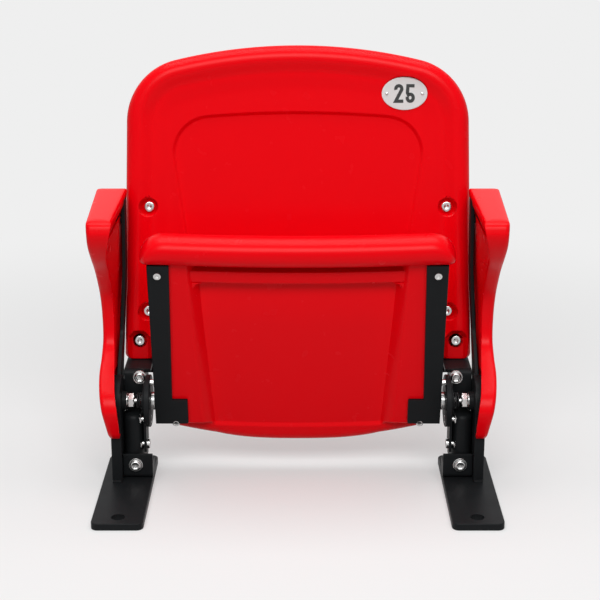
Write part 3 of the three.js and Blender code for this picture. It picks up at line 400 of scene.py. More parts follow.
def recess_tool(place, x, z, radius, floor):
    """A cone-shaped recess with a flat floor for a bolt's head."""
    profile = [(radius + 1.6, -tool_reach), (radius + 1.6, -12), (radius - 3.2, floor - 1),
               (radius - 4, floor - 0.3), (radius - 5, floor)]
    return loft("tool", turned(profile, 72), place @ to_y(x, z))


def pocket_tool(place, x, z):
    """The open seat of the lowest bolt: sloping walls with cut corners that run out at the foot."""
    def ring(grow, y):
        half = pocket_half + grow
        line = rounded([(half, -z - 8, 0), (half, half * 0.35, 3), (half * 0.42, half * 0.86, 3),
                        (-half * 0.42, half * 0.86, 3), (-half, half * 0.35, 3), (-half, -z - 8, 0)], 6)
        return [(x + a, y, z + b) for a, b in line]
    return loft("tool", [ring(2.2, -tool_reach), ring(2.2, -14), ring(-4.2, -pocket_floor - 0.8),
                         ring(-5.4, -pocket_floor)], place)


number_x, number_z, number_thickness = 149.5, 380, 1.4
number_half_width, number_half_height = 32, 23
number_seat = -back_face + number_thickness + fit_gap


def ellipse_ring(grow, y, steps=96):
    wide, tall = number_half_width + grow, number_half_height + grow
    return [(number_x + wide * math.cos(a), y, number_z + tall * math.sin(a))
            for a in (2 * math.pi * i / steps for i in range(steps))]


def make_back():
    shell = loft("back_moulding", back_rings(), leaning)
    tools = [loft("tool", [ellipse_ring(0.9, -tool_reach), ellipse_ring(0.9, number_seat)], leaning)]
    for side in (-1, 1):
        for x, z in back_bolts:
            tools.append(recess_tool(leaning, side * x, z, recess_radius, -recess_floor))
        tools.append(pocket_tool(leaning, side * back_bolts[0][0], back_bolts[0][1]))
    carve(shell, tools)
    return dress(crisp(shell, 40, bevel=0.7), "frame", "red_plastic", "back_shell")


# Seat, measured from the pivot with the seat flat: front at -Y, sitting side up

seat_front, seat_back, seat_back_side, seat_half = -265, 74, 48, 195
lip_half, lip_radius, lip_end = 210, 22, 34
slab_top, slab_bottom, seat_dish, lip_drop = 30, 13, 10, 3
under_flat, under_panel, rib_rise, groove_depth, box_back = -4.5, 16.5, 10, 9, 36
rib_front, rib_back, rib_round, trench_behind, trench_width, corner_round = -212, -193.5, 3.5, 5, 70, 13
wall_front_x, wall_back_x, wall_slope_front, wall_slope_back, side_round = 152, 134, 13, 18, 4
lip_depth, tail_round = 41, 16
lip_half_height = (slab_top - slab_bottom + seat_dish + lip_radius - lip_drop) / 2
lip_tip, lip_steps, lip_back_steps = 9, 44, 20
neck = seat_front + lip_radius


def dish(x):
    return seat_dish * (1 - (x / lip_half) ** 2)


def lip_oval(x):
    """Centre and half sizes of the lip's oval section at x."""
    out = max(0, (abs(x) - lip_half + lip_end) / lip_end)
    tip = max(0, (abs(x) - lip_half + lip_tip) / lip_tip)
    front = seat_front + lip_end * fall(out * 0.98)
    back = seat_front + lip_depth - 5 * fall(tip, 0.99)
    half = lip_half_height
    tall = half * (1 - 0.25 * out ** 6) * (1 - 0.45 * fall(tip, 0.99))
    return (front + back) / 2, slab_top - half - dish(x), (back - front) / 2, tall


def lip_crease(x, level):
    """Angle at which the back of the lip's oval comes down to this level at x, in degrees."""
    return 360 + math.degrees(math.asin((level + dish(x) + lip_half_height - slab_top) / lip_half_height))


def oval_arc(x, start, end, steps):
    cy, cz, ry, rz = lip_oval(x)
    turn = [math.radians(mix(start, end, i / steps)) for i in range(steps + 1)]
    return [(cy + ry * math.cos(a), cz + rz * math.sin(a)) for a in turn]


def under_level(x, y, edge):
    """Height of the underside: side flats, walls, the sunk panel, its trenches and its rib."""
    behind = y - rib_back
    shift = corner_round * fall(1 - behind / corner_round) if 0 < behind < corner_round else 0
    panel = under_panel - dish(x)
    trench = groove_depth if behind < 0 else trench_behind * (1 - ease(behind / trench_width))

    def walled(shift):
        out = clamp((abs(x) + shift - wall_front_x + wall_slope_front) / wall_slope_front)
        return mix(under_flat + edge, panel + trench, (1 - out) ** 1.5)

    level = walled(shift)
    rib = panel - rib_rise
    if shift:
        level = max(level, min(rib, walled(0)))
    ahead = min(y - rib_front, rib_back - y)
    if ahead > 0:
        level = min(level, rib + rib_round * fall(max(0, 1 - ahead / rib_round)))
    return level


def oval_top(x, y):
    """Height of the top of the lip's oval, which runs on into the slab."""
    cy, cz, ry, rz = lip_oval(x)
    return cz + rz * math.sqrt(max(0, 1 - ((y - cy) / ry) ** 2))


def seat_section(front_x, back_x, sunk, edge):
    """The seat's outline in Y and Z at one station. sunk goes from 0 on the side flats to 1 in
    the panel between them, and edge draws the slab in to round its sides."""
    share = abs(front_x) / seat_half
    sag = dish(front_x)
    back = seat_back - (seat_back - seat_back_side) * share ** 3.4 - edge
    top, bottom = slab_top - sag - edge, slab_bottom - sag + edge
    box_end = mix(box_back - edge, box_back + lip_radius / 3, sunk)
    radius = (top - bottom) / 2
    tail = max(0.5, min(tail_round, back - box_end - 6))
    foot = min(box_end + 5, back - tail - 0.4)
    crease = lip_crease(front_x, under_level(front_x, rib_front - 3, edge))
    line = []
    for y in (neck + 2 * i for i in range(1, 10)):
        level = top + edge * (1 - ease((y - neck) / 8))
        line.append((y, max(level, oval_top(front_x, y) + 0.02 * (edge > 0))))
    line += between(line[-1], (back - radius, top), 30)
    line += arc(back - radius, bottom + radius, radius, math.pi / 2, 0, 8)
    line += [(back - tail + tail * a, bottom + radius + radius * b)
             for a, b in arc(0, 0, 1, 0, -math.pi / 2, 10)[1:]]
    rear = box_end - 7
    panel = under_level(front_x, rear, edge)
    line += rounded([(back - tail, bottom, 0), (foot, bottom, 4), (box_end, panel, 3), (rear, panel, 0)], 6)[1:]
    spots = [mix(rear, rib_back + 40, i / 24) for i in range(1, 25)]
    spots += [rib_back + 0.02 + 40 * (1 - i / 30) ** 1.5 for i in range(1, 31)]
    close = (0.02, 0.15, 0.5, 1.1, 2, 3.5, 6)
    spots += [rib_back - a for a in (*close, (rib_back - rib_front) / 2)]
    spots += [rib_front + a for a in close[::-1]]
    crease_y = oval_arc(front_x, crease, crease, 1)[0][0]
    spots += [mix(rib_front - 0.02, crease_y, i / 5) for i in range(5)]
    line += [(y, under_level(front_x, y, edge)) for y in spots]
    line += oval_arc(front_x, crease, 90, lip_steps)
    points = []
    for y, z in line:
        along = (y - seat_front) / (seat_back - seat_front)
        points.append((mix(front_x, back_x, along), y, z))
    return points


def seat_stations():
    """Front and back x, sunk share and edge draw-in from the middle out to the right side."""
    stations = [(wall_front_x - wall_slope_front) * (1 - (1 - i / 34) ** 1.6) for i in range(34)]
    narrow = (wall_back_x - wall_slope_back) / (wall_front_x - wall_slope_front)
    stations = [(x, x * narrow, 1, 0) for x in stations]
    for i in range(15):
        share = 1 - i / 14
        stations.append((wall_front_x - wall_slope_front * share, wall_back_x - wall_slope_back * share,
                         share ** 1.5, 0))
    for i in range(1, 9):
        share = i / 8
        stations.append((mix(wall_front_x, seat_half - side_round, share),
                         mix(wall_back_x, seat_half - side_round, share), 0, 0))
    for i in range(1, 7):
        turn = math.pi / 2 * i / 6
        x = seat_half - side_round * (1 - math.sin(turn))
        stations.append((x, x, 0, side_round * (1 - math.cos(turn))))
    return stations


def make_seat():
    right = seat_stations()
    left = [(-a, -b, sunk, edge) for a, b, sunk, edge in right[:0:-1]]
    rings = [seat_section(*station) for station in left + right]
    points, faces = skin(rings, ends=False)
    for side, ring in ((-1, rings[0]), (1, rings[-1])):
        x = side * seat_half
        limit = slab_top - side_round - dish(seat_half) + 0.001
        body = [p for p in ring[:-lip_steps - 1] if p[2] <= limit]
        crease = lip_crease(seat_half, under_flat + side_round)
        behind = [(x, y, z) for y, z in oval_arc(x, crease - 360, 90, lip_back_steps) if z <= limit]
        start = len(points)
        points += body + behind
        faces.append(tuple(range(start, len(points))))
        lip = []
        for i in range(15):
            reach = seat_half + (lip_half - seat_half) * math.sin(math.pi / 2 * i / 14)
            loop = oval_arc(side * reach, crease, 90, lip_steps)
            loop += oval_arc(side * reach, 90, crease - 360, lip_back_steps)[1:-1]
            lip.append([(side * reach, y, z) for y, z in loop])
        more, quads = skin(lip, ends=False)
        start = len(points)
        points += more
        faces += [tuple(start + v for v in quad) for quad in quads]
        faces.append(tuple(range(len(points) - len(lip[0]), len(points))))
    seat = make("seat_moulding", points, faces, folded)
    return dress(crisp(seat, 30), "seat", "red_plastic", "seat_shell")


# Armrests, drawn for the right: level slices from foot to pad, as shares of height, of depth
# (front, back) and of width (inner edge at the front and at the back, outer edge)

upright_inner, bar_thickness, bar_front, bar_back = 247, 14, -34, 22
strap_line = [(101, 249.5), (161, 249.5), (200, 248.6), (230, 246.8), (260, 244.7), (300, 242.7), (396, 241.6)]
strap_plate, lobe_radius = 5, 36
ear_radius, ear_outer, ear_bore, ear_bore_outer = 15.6, 274.5, 11.2, 276.5
arm_inner, arm_outer, arm_nose, arm_tail = 244, 283.8, -68, 95
arm_foot_z, arm_top_z, arm_rise, arm_splay, arm_wall, arm_round = 78, 392, 12, 5, 3, 7
arm_slice_shares = [
    (0.000, 0.17, 0.46, 0.10, 0.10, 0.47), (0.020, 0.13, 0.52, 0.09, 0.10, 0.50),
    (0.055, 0.10, 0.60, 0.08, 0.12, 0.54), (0.100, 0.07, 0.67, 0.09, 0.16, 0.60),
    (0.150, 0.06, 0.71, 0.12, 0.27, 0.67), (0.212, 0.13, 0.76, 0.20, 0.27, 0.75),
    (0.270, 0.29, 0.79, 0.27, 0.27, 0.81), (0.320, 0.46, 0.82, 0.33, 0.262, 0.80),
    (0.385, 0.58, 0.84, 0.37, 0.248, 0.785), (0.494, 0.62, 0.87, 0.37, 0.205, 0.80),
    (0.588, 0.58, 0.90, 0.368, 0.162, 0.82), (0.670, 0.46, 0.93, 0.356, 0.135, 0.825),
    (0.744, 0.33, 0.945, 0.345, 0.116, 0.835), (0.812, 0.18, 0.96, 0.32, 0.109, 0.85),
    (0.869, 0.08, 0.97, 0.25, 0.102, 0.88), (0.906, 0.03, 0.98, 0.19, 0.09, 0.89),
    (0.945, 0.00, 0.99, 0.12, 0.00, 0.89), (0.975, 0.01, 1.00, 0.07, -0.05, 0.90),
    (0.993, 0.03, 0.995, 0.06, -0.055, 0.90), (1.000, 0.06, 0.98, 0.10, -0.02, 0.87)]
cavity_foot_share, cavity_top_share, cavity_blend_share = 0.012, 0.955, 0.03
cover_foot_share, cover_top_share = 0.27, 0.906
cover_plate, cover_bead, cover_bead_width = 2.4, 0.9, 4


def at_height(line, z):
    """Value at z of a line of (z, value) points."""
    for (low, a), (high, b) in zip(line, line[1:]):
        if z <= high:
            return mix(a, b, max(0, (z - low) / (high - low)))
    return line[-1][1]


def arm_shares(level):
    """The shares of arm_slice_shares at any level, on a smooth curve through the rows."""
    rows = arm_slice_shares
    k = max(i for i in range(len(rows) - 1) if rows[i][0] <= level or i == 0)
    gap = rows[k + 1][0] - rows[k][0]
    t = (level - rows[k][0]) / gap

    def slope(i, column):
        low, high = rows[max(i - 1, 0)], rows[min(i + 1, len(rows) - 1)]
        return (high[column] - low[column]) / (high[0] - low[0]) * gap

    shares = []
    for c in range(1, 6):
        a, b = rows[k][c], rows[k + 1][c]
        shares.append((2 * t ** 3 - 3 * t ** 2 + 1) * a + (t ** 3 - 2 * t ** 2 + t) * slope(k, c)
                      + (3 * t ** 2 - 2 * t ** 3) * b + (t ** 3 - t ** 2) * slope(k + 1, c))
    return shares


def arm_edges(level):
    """Front and back in Y, then inner at the front, inner at the back and outer in X."""
    front, back, inner, tuck, outer = arm_shares(level)
    depth, width = arm_tail - arm_nose, arm_outer - arm_inner
    return (arm_nose + front * depth, arm_nose + back * depth,
            arm_inner + inner * width, arm_inner + tuck * width, arm_inner + outer * width)


def arm_reach(level, y):
    return level ** 3 * (y - arm_nose) / (arm_tail - arm_nose)


def arm_height(level, y):
    return arm_foot_z + level * (arm_top_z - arm_foot_z) + arm_rise * arm_reach(level, y)


def arm_ring(level, draw_in=0.0, lift=0.0):
    front, back, inner, tuck, outer = arm_edges(level)
    front, back, outer = front + draw_in, back - draw_in, outer - draw_in
    inner, tuck = inner + draw_in, tuck + draw_in
    open_share = min(ease((level - cavity_foot_share) / cavity_blend_share),
                     ease((cavity_top_share - level) / cavity_blend_share))
    deep = inner + max(0.05, (outer - arm_wall - inner) * open_share)
    deep_back = tuck + max(0.05, (outer - arm_wall - tuck) * open_share)
    wall = arm_wall
    round_out = min(arm_round, (outer - inner) * 0.48)
    loop = rounded([
        (inner, front + wall, 0.6), (inner, front, 1.2), (outer, front, round_out), (outer, back, round_out),
        (tuck, back, 1.2), (tuck, back - wall, 0.6), (deep_back, back - wall, 4), (deep, front + wall, 4)],
        7, close=True)
    points = []
    for x, y in loop:
        out = (x - arm_inner) / (arm_outer - arm_inner)
        points.append((x + arm_splay * arm_reach(level, y) * out, y, arm_height(level, y) + lift))
    return points


def arm_rings():
    """Rings up the arm, closer where it bends, between a rounded foot and a crowned pad."""
    close = [0.004, 0.012, 0.016, 0.955, 0.96, 0.975, 0.983, 0.988, 0.993, 0.9965, 0.9985]
    levels = sorted({i / 130 for i in range(131)} | set(close))
    rings = [arm_ring(0, draw, lift) for draw, lift in ((4, -1.2), (2, -0.8), (0.6, -0.3))]
    rings += [arm_ring(level) for level in levels]
    return rings + [arm_ring(1, draw, lift) for draw, lift in ((1.5, 0.5), (4, 0.9), (8, 1.2), (12, 1.3))]


def disc_tool(radius, x0, x1, y, z, flare=0.0, sides=64):
    profile = [(radius, x0), (radius, x1)]
    if flare:
        profile = [(radius, x0), (radius, x1 - flare), (radius + flare * 2, x1 + flare)]
    return loft("tool", turned(profile, sides), straight @ to_x(y, z))


def block_tool(x0, x1, y0, y1, z0, z1):
    ring = [(x0, y0), (x1, y0), (x1, y1), (x0, y1)]
    return loft("tool", [[(x, y, z) for x, y in ring] for z in (z0, z1)], straight)


def cover_ring(level):
    front, back, inner = arm_edges(level)[:3]
    front, back = front + arm_wall + fit_gap, back - arm_wall - fit_gap
    floor = at_height(strap_line, arm_height(level, back)) + strap_plate + fit_gap
    face = max(inner + cover_plate / 2, floor)
    loop = []
    for i in range(61):
        y = mix(front, back, i / 60)
        bead = 0
        for centre in (front + 7, back - 7):
            bead = max(bead, 1 - ((y - centre) / cover_bead_width * 2) ** 2)
        loop.append((mix(face, floor, i / 60) + cover_bead * (1 - ease(bead)), y))
    loop += [(mix(floor, face, i / 10) + cover_plate, mix(back, front, i / 10)) for i in range(11)]
    return [(x, y, arm_height(level, y)) for x, y in loop]


def make_arm(side):
    """One armrest: its moulding with an ear for the bolt, and the cover inside it."""
    word = "right" if side > 0 else "left"
    shell = loft("arm_moulding_" + word, arm_rings(), straight)
    seat = upright_inner + bar_thickness + fit_gap
    carve(shell, [disc_tool(ear_radius, seat, ear_outer, 0, pivot_z)], "UNION")
    carve(shell, [
        block_tool(arm_inner - 3, seat, bar_front - fit_gap, bar_back + fit_gap, 40, arm_foot_z + 18),
        disc_tool(ear_bore, seat + 6, ear_bore_outer, 0, pivot_z, flare=0.8)])
    cover = loft("arm_inner_cover_" + word, [
        cover_ring(mix(cover_foot_share, cover_top_share, i / 70)) for i in range(71)], straight)
    clear = lobe_radius + fit_gap
    carve(cover, [block_tool(240, seat, bar_front * 2, clear, 60, pivot_z + clear)])
    for piece, node in ((shell, "arm_shell_"), (cover, "arm_cover_")):
        if side < 0:
            flip(piece)
        dress(crisp(piece, 32), "frame", "red_plastic", node + word)


# Fasteners, each drawn round Z with its head's seat at z 0 and its tip at +Z

small_radius, small_head, small_height, small_thread = 4, 7, 4.5, 9
big_radius, big_head, big_height, big_thread = 6, 10, 6, 12
thread_pitch = 1.4

hinge_screws = {"upper": (92.84, 211.3), "lower": (55.78, 214)}
seat_screws = {"front": (187, -212, -10.1), "rear": (172.28, 33, -6.2)}
hinge_screw_y, pivot_bore, pivot_pin_radius, housing_face = -4, 6.3, 6, 22.7
pivot_axis = straight @ to_x(0, pivot_z)


def threaded(radius, start, end):
    """A profile of fine grooves from start to end, with a chamfer at the end."""
    profile = [(radius, start)]
    count = max(1, int(abs(end - start) / thread_pitch) - 1)
    step = (end - start) / (count + 1)
    for i in range(count):
        profile += [(radius, start + step * (i + 0.3)), (radius * 0.91, start + step * (i + 0.75))]
    return profile + [(radius, end - step * 0.7), (radius * 0.82, end), (hub, end)]


def socket_screw(name, radius, head, height, length, thread, place, flange=False, sides=48):
    """A screw with a hexagon socket; with a flange its head is a button on a washer face."""
    hexagon, floor = head * 0.45, -height * 0.45
    if flange:
        crown = head * 0.74
        rim = [(head - 0.4, 0), (head, -0.4), (head, -1.5), (head - 0.5, -2),
               (crown + 0.4, -2.1), (crown, -2.5),
               (crown, -height + 1.6), (crown - 0.5, -height + 0.6), (crown - 1.6, -height)]
    else:
        rim = [(head - 0.3, 0), (head, -0.3), (head, -height + 1), (head - 0.3, -height + 0.3),
               (head - 1, -height)]
    profile = threaded(radius, length - thread, length)[::-1] + [(radius, 0)] + rim
    profile += [(hexagon + 0.45, -height), (hexagon, -height + 0.45, 6), (hexagon, floor, 6),
                (hub, floor + 0.6)]
    return loft(name, turned(profile, sides), place)


def nut(name, bore, start, height, place, sides=48):
    reach = bore * 1.8
    flat = reach * math.cos(math.pi / 6)
    profile = [(bore, start), (flat - 0.2, start), (reach * 0.985, start + 0.7, 6), (reach, start + 1.2, 6),
               (reach, start + height - 1.2, 6), (reach * 0.985, start + height - 0.7, 6),
               (flat - 0.2, start + height), (bore + 0.5, start + height), (bore, start + height - 0.5)]
    return turned_band(name, profile, place, sides)


def ring_washer(name, bore, radius, start, end, place, sides=64):
    soft = min(0.5, (end - start) / 4)
    profile = [(bore, start + soft), (bore + soft, start), (radius - soft, start), (radius, start + soft),
               (radius, end - soft), (radius - soft, end), (bore + soft, end), (bore, end - soft)]
    return turned_band(name, profile, place, sides)


def pin(name, radius, start, end, place):
    profile = [(hub, start), (radius, start), (radius, end - radius / 5),
               (radius * 0.95, end - radius / 14), (radius * 0.8, end), (radius * 0.3, end), (hub, end - 0.6)]
    return loft(name, turned(profile), place)


def back_fasteners():
    rear = back_half_thickness + fit_gap + strap_plate + fit_gap
    for i, name in enumerate(("lower", "middle", "upper")):
        x, z = back_bolts[i]
        face = -(pocket_floor if i == 0 else recess_floor) - fit_gap
        length = rear + small_radius * 2.5 - face
        place = leaning @ to_y(x, z, face)
        pair("back_bolt_" + name, [
            small_screw(length, small_thread, place),
            nut("nut", small_radius, rear - face, small_radius * 1.8, place)])


def small_screw(length, thread, place, height=small_height):
    return socket_screw("screw", small_radius, small_head, height, length, thread, place)


def big_screw(length, thread, place, flange=True):
    return socket_screw("screw", big_radius, big_head, big_height, length, thread, place, flange)


def leg_fasteners():
    x, face, z, length, thread = 229, -22.3, 30.86, 49.8, 8
    place = straight @ to_y(x, z, face)
    spacer_start, spacer_end = 5.6, 30
    pair("foot_bolt", [
        big_screw(length, thread, place),
        ring_washer("spacer", big_radius + 0.05, big_head, spacer_start, spacer_end, place)])
    x, z, length, nut_start, nut_height = 224, 146, 87.9, 74.3, 10.8
    place = straight @ to_y(x, z, housing_face)
    pair("housing_bolt", [
        big_screw(length, big_thread, place), nut("nut", big_radius, nut_start, nut_height, place)])
    screw_end, nut_start, nut_height, thread = 228.6, 220.6, 6, 7
    for name, (z, face) in hinge_screws.items():
        place = straight @ to_x(hinge_screw_y, z, face - fit_gap)
        pair("hinge_screw_" + name, [
            small_screw(screw_end - face + fit_gap, thread, place, small_height - fit_gap),
            nut("nut", small_radius, nut_start - face + fit_gap, nut_height, place)])


def pivot_fasteners():
    radius, start, end = 13, 201.1, 206.2
    pair("pivot_washer", [ring_washer("washer", pivot_bore, radius, start, end, pivot_axis)])
    radius, start, end = 8, 206.5, 217
    pair("pivot_bush", [
        ring_washer("bush", pivot_bore, radius, start, end, pivot_axis)], slot_name="bush_plastic")
    face, length, stub_radius, stub_end = 267.6, 37.6, 3.4, 42.2
    head = straight @ to_x(0, pivot_z, face) @ Matrix.Rotation(math.pi, 4, "X")
    stub = [(hub, length - fit_gap), (stub_radius, length - fit_gap), (stub_radius, stub_end - 0.6),
            (stub_radius - 0.6, stub_end), (hub, stub_end)]
    pair("arm_bolt", [
        big_screw(length, big_thread, head, flange=False), loft("stub", turned(stub), head)])
    start, height, radius, washer_start, washer_end = 230.4, 8.2, 12.4, 238.9, 240.4
    pair("arm_nut", [
        nut("nut", big_radius + 0.1, start, height, pivot_axis),
        ring_washer("washer", big_radius + fit_gap, radius, washer_start, washer_end, pivot_axis)])
    face, y, z, length = 249.2, 71, 365, 16.2
    place = straight @ to_x(y, z, face)
    pair("arm_screw", [small_screw(length, small_thread, place)], slot_name="black_steel")


def seat_fasteners():
    radius, head, height, length, thread = 2.8, 5.25, 3.6, 16.4, 8
    for name, spot in seat_screws.items():
        place = folded @ Matrix.Translation(spot)
        pair("seat_screw_" + name, [socket_screw("screw", radius, head, height, length, thread, place)], "seat")
    start, pivot_end, stop_radius, stop_end, stop_y = 195.8, 222, 4.5, 213.2, -31
    pair("pivot_pin", [pin("pin", pivot_pin_radius, start, pivot_end, folded @ to_x(0, 0))], "seat")
    pair("stop_pin", [pin("pin", stop_radius, start, stop_end, folded @ to_x(stop_y, 0))], "seat")


def spring_wire():
    """A leg to the housing, the turns round the pin, then half a turn in to the pin."""
    start, coil, wire, turns, pitch, steps = 218.7, 10.5, 1.1, 3, 3, 36
    path = [Vector((start, housing_face * (1 - i / 8), pivot_z + coil)) for i in range(8)]
    for i in range(turns * steps + 1):
        turn = i / steps
        angle = math.pi / 2 + 2 * math.pi * turn
        inward = max(0, turn - turns + 0.5) * 2
        radius = coil - inward * (coil - pivot_pin_radius - wire - fit_gap)
        path.append(Vector((start + pitch * turn, radius * math.cos(angle),
                            pivot_z + radius * math.sin(angle))))
    rings = []
    for i, point in enumerate(path):
        along = (path[min(i + 1, len(path) - 1)] - path[max(i - 1, 0)]).normalized()
        side = (Vector((1, 0, 0)) - along * along.x).normalized()
        up = along.cross(side)
        rings.append([point + side * a + up * b for a, b in arc(0, 0, wire, 0, 2 * math.pi, 12)[:-1]])
    return loft("wire", rings, straight)


# Number plate with its two rivets and its digits

digit_height, digit_width, digit_stroke, digit_relief = 26, 13, 4.6, 0.25
digit_centres = {"2": 141.3, "5": 157.4}


def stroke(name, line, y, place):
    """A flat raised ribbon of digit_stroke width along a line in x and z."""
    half = digit_stroke / 2
    left, right = [], []
    for i, point in enumerate(line):
        here = Vector(point)
        before = (here - Vector(line[i - 1])).normalized() if i else None
        after = (Vector(line[i + 1]) - here).normalized() if i < len(line) - 1 else None
        along = ((before or after) + (after or before)).normalized()
        normal = Vector((-along.y, along.x))
        reach = half / max(0.35, normal.dot(Vector((-(after or before).y, (after or before).x))))
        left.append(here + normal * reach)
        right.append(here - normal * reach)
    rings = []
    for a, b in zip(left, right):
        top = y - digit_relief
        rings.append([(a.x, y, a.y), (b.x, y, b.y), (b.x, top, b.y), (a.x, top, a.y)])
    return loft(name, rings, place)


def digit_line(digit, x, z):
    """The middle line of a 2 or a 5 round this centre."""
    half, tall, pen = digit_width / 2, digit_height / 2, digit_stroke / 2
    bowl = half - pen
    if digit == "2":
        top = tall - pen - bowl
        line = arc(0, top, bowl, math.radians(200), math.radians(-38), 26)
        return [(x + a, z + b) for a, b in line + [(-bowl, -tall + pen), (half, -tall + pen)]]
    low = -tall + pen + bowl * 1.15
    line = [(half - 0.6, tall - pen), (-bowl + 0.8, tall - pen), (-bowl + 0.2, 0.9)]
    curve = [(bowl * math.cos(a), low + bowl * 1.15 * math.sin(a))
             for a in (math.radians(128 - 322 * i / 30) for i in range(31))]
    return [(x + a, z + b) for a, b in line + curve]


def make_number_plate():
    """The oval plate, its two rivets and its digits."""
    rear = number_seat - fit_gap
    face = rear - number_thickness
    rings = [ellipse_ring(grow, y) for grow, y in (
        (-0.4, rear), (0, number_seat - 0.6), (0, face + 0.5), (-0.25, face + 0.12), (-0.8, face))]
    for share in (0.9, 0.6, 0.3, 0.02):
        rings.append([(number_x + (x - number_x) * share, face, number_z + (z - number_z) * share)
                      for x, _, z in rings[4]])
    dress(crisp(loft("number_plate_fine", rings, leaning), 30), "frame", "white_enamel", "number_plate")
    spread, radius, head, crown = 25, 1.4, 2.3, 0.9
    profile = [(hub, 3), (radius, 3), (radius, -fit_gap), (head, -fit_gap), (head, -0.6)]
    profile += [(head * math.cos(a), -0.6 - crown * math.sin(a))
                for a in (math.pi / 2 * i / 9 for i in range(1, 9))]
    for side, word in ((-1, "left"), (1, "right")):
        place = leaning @ to_y(number_x + side * spread, number_z, face)
        rivet = loft("number_rivet_" + word + "_fine", turned(profile, 32), place)
        dress(crisp(rivet, 40), "frame", "zinc", "number_rivet_" + word)
    for digit, x in digit_centres.items():
        piece = crisp(stroke("digit_" + digit, digit_line(digit, x, number_z), face, leaning), 30)
        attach(piece, "frame")
        piece.data.materials.append(ink)


# Steelwork, drawn for the right

plate_top, steel_x, disc_outer, disc_radius = 10, 246.6, 214, 36.9
strap_front = [(101, -20), (119, -12), (147.8, 4), (205, 53), (396, 62)]
strap_rear = [(101, 30), (192, 72), (205, 74), (396, 84)]


def make_uprights():
    """The flat bar with a lobe round the pivot, the bent strap on it and the pivot's boss."""
    start, end, strap_foot, strap_top = -52.3, 199.2, 101, 394
    bar = [(bar_front, plate_top), (bar_back, plate_top)]
    bar += arc(0, pivot_z, lobe_radius, math.radians(start), math.radians(end), 72)
    rings = []
    for i in range(61):
        z = mix(strap_foot, strap_top, i / 60)
        x, front, rear = [at_height(line, z) for line in (strap_line, strap_front, strap_rear)]
        rings.append([(x, front, z), (x + strap_plate, front, z), (x + strap_plate, rear, z), (x, rear, z)])
    inner, outer, radius, soft = 240.7, 250, 13.2, 0.7
    boss = [(hub, inner), (radius - soft, inner), (radius, inner + soft), (radius, outer), (hub, outer)]
    solids = [prism(bar, upright_inner, upright_inner + bar_thickness, "x"), loft("strap", rings, straight),
              loft("boss", turned(boss), pivot_axis)]
    steel_pair("upright", "frame", solids, [disc_tool(pivot_bore, 230, 270, 0, pivot_z)])


def make_channels():
    """The leg's hollow section, closed here, with a bowed front and a rounded top."""
    inner, depth, middle_y, back = 217.6, 34, 20, 47
    middle, half = (inner + steel_x) / 2, (steel_x - inner) / 2
    rings = []
    for z, inset in ((22, 0), (93, 0), (96, 0.4), (98.5, 1.6), (99.9, 3.6), (100.3, 6)):
        bow = [(middle + (half - inset) * math.sin(a), middle_y - (depth - inset) * max(0, math.cos(a)) ** 0.4)
               for a in (math.radians(mix(-90, 90, i / 40)) for i in range(41))]
        rear = [(steel_x - inset, back - inset), (inner + inset, back - inset)]
        rings.append([(x, y, z) for x, y in bow + rear])
    steel_pair("leg_channel", "frame", [loft("channel", rings, straight)], bevel=0.3)


def make_housings():
    """The box over the hinge, cut off along the back's strap and round the disc."""
    inner, front, foot, step, top, back, rear, far = 218, 23, 101, 128, 156.4, 103, 16.3, 300
    side = rounded([(front, foot, 1), (front + 32, foot, 1), (front + 32, step, 1), (back, step, 1),
                    (back, top, 1), (front, top, 9)], 8, close=True)
    solids = [prism(side, inner, steel_x, "x"),
              prism(box_outline(inner - 9, inner + 6, front + 4, back, 3), top - 5, top, "z")]
    round_disc = [(disc_radius + 0.2, 150), (disc_radius + 0.2, disc_outer + 0.8)]
    behind = leaning @ Matrix.Translation((0, rear, 0))
    holes = [prism([(150, -200), (far, -200), (far, far), (150, far)], 0, 90, "y", behind),
             loft("tool", turned(round_disc, 96), pivot_axis)]
    steel_pair("hinge_housing", "frame", solids, holes)


def make_hinge_plates():
    """A disc with a curved slot for the stop pin, on a tail that is screwed to the channel."""
    start, end, slot_inner, slot_outer = math.radians(95.2), math.radians(184.8), 25.7, 36
    slot = arc(0, pivot_z, slot_inner, start, end, 30) + arc(0, pivot_z, slot_outer, start, end, 30)[::-1]
    inner, soft, tail_inner, tail_outer, tail_foot = 206.5, 0.7, 213.5, 217, 46
    boss_inner, boss_radius, bush_bore, screw_bore = 210, 24.5, 8.3, 7.3
    disc = [(hub, inner), (disc_radius - soft, inner), (disc_radius, inner + soft),
            (disc_radius, disc_outer - soft), (disc_radius - soft, disc_outer), (hub, disc_outer)]
    boss = [(hub, boss_inner), (boss_radius, boss_inner), (boss_radius, tail_outer), (hub, tail_outer)]
    solids = [loft("disc", turned(disc, 120), pivot_axis),
              prism(box_outline(-14, 20, tail_foot, pivot_z, 2), tail_inner, tail_outer, "x"),
              loft("boss", turned(boss, 96), pivot_axis)]
    screw_z, screw_face = hinge_screws["upper"]
    before, behind = 200, 220
    holes = [prism(slot, before, behind, "x"), disc_tool(bush_bore, before, behind, 0, pivot_z),
             disc_tool(screw_bore, before, screw_face, hinge_screw_y, screw_z)]
    steel_pair("hinge_plate", "frame", solids, holes, bevel=0.3)


def make_foot_brackets():
    """A bent plate on the foot plate, with an ear at its side."""
    inner, front, back, base, top, thick = 205, -22, 40, plate_top, 46, 5
    plate = rounded([(front, top, 0), (front, base, 8), (back, base, 0), (back, base + thick, 0),
                     (front + thick, base + thick, 4), (front + thick, top, 0)], 8, close=True)
    ear = box_outline(-19, 6, base + 2, base + 23, 6)
    steel_pair("foot_bracket", "frame", [
        prism(plate, inner, steel_x, "x"), prism(ear, inner, inner + thick, "x")], bevel=0.8)


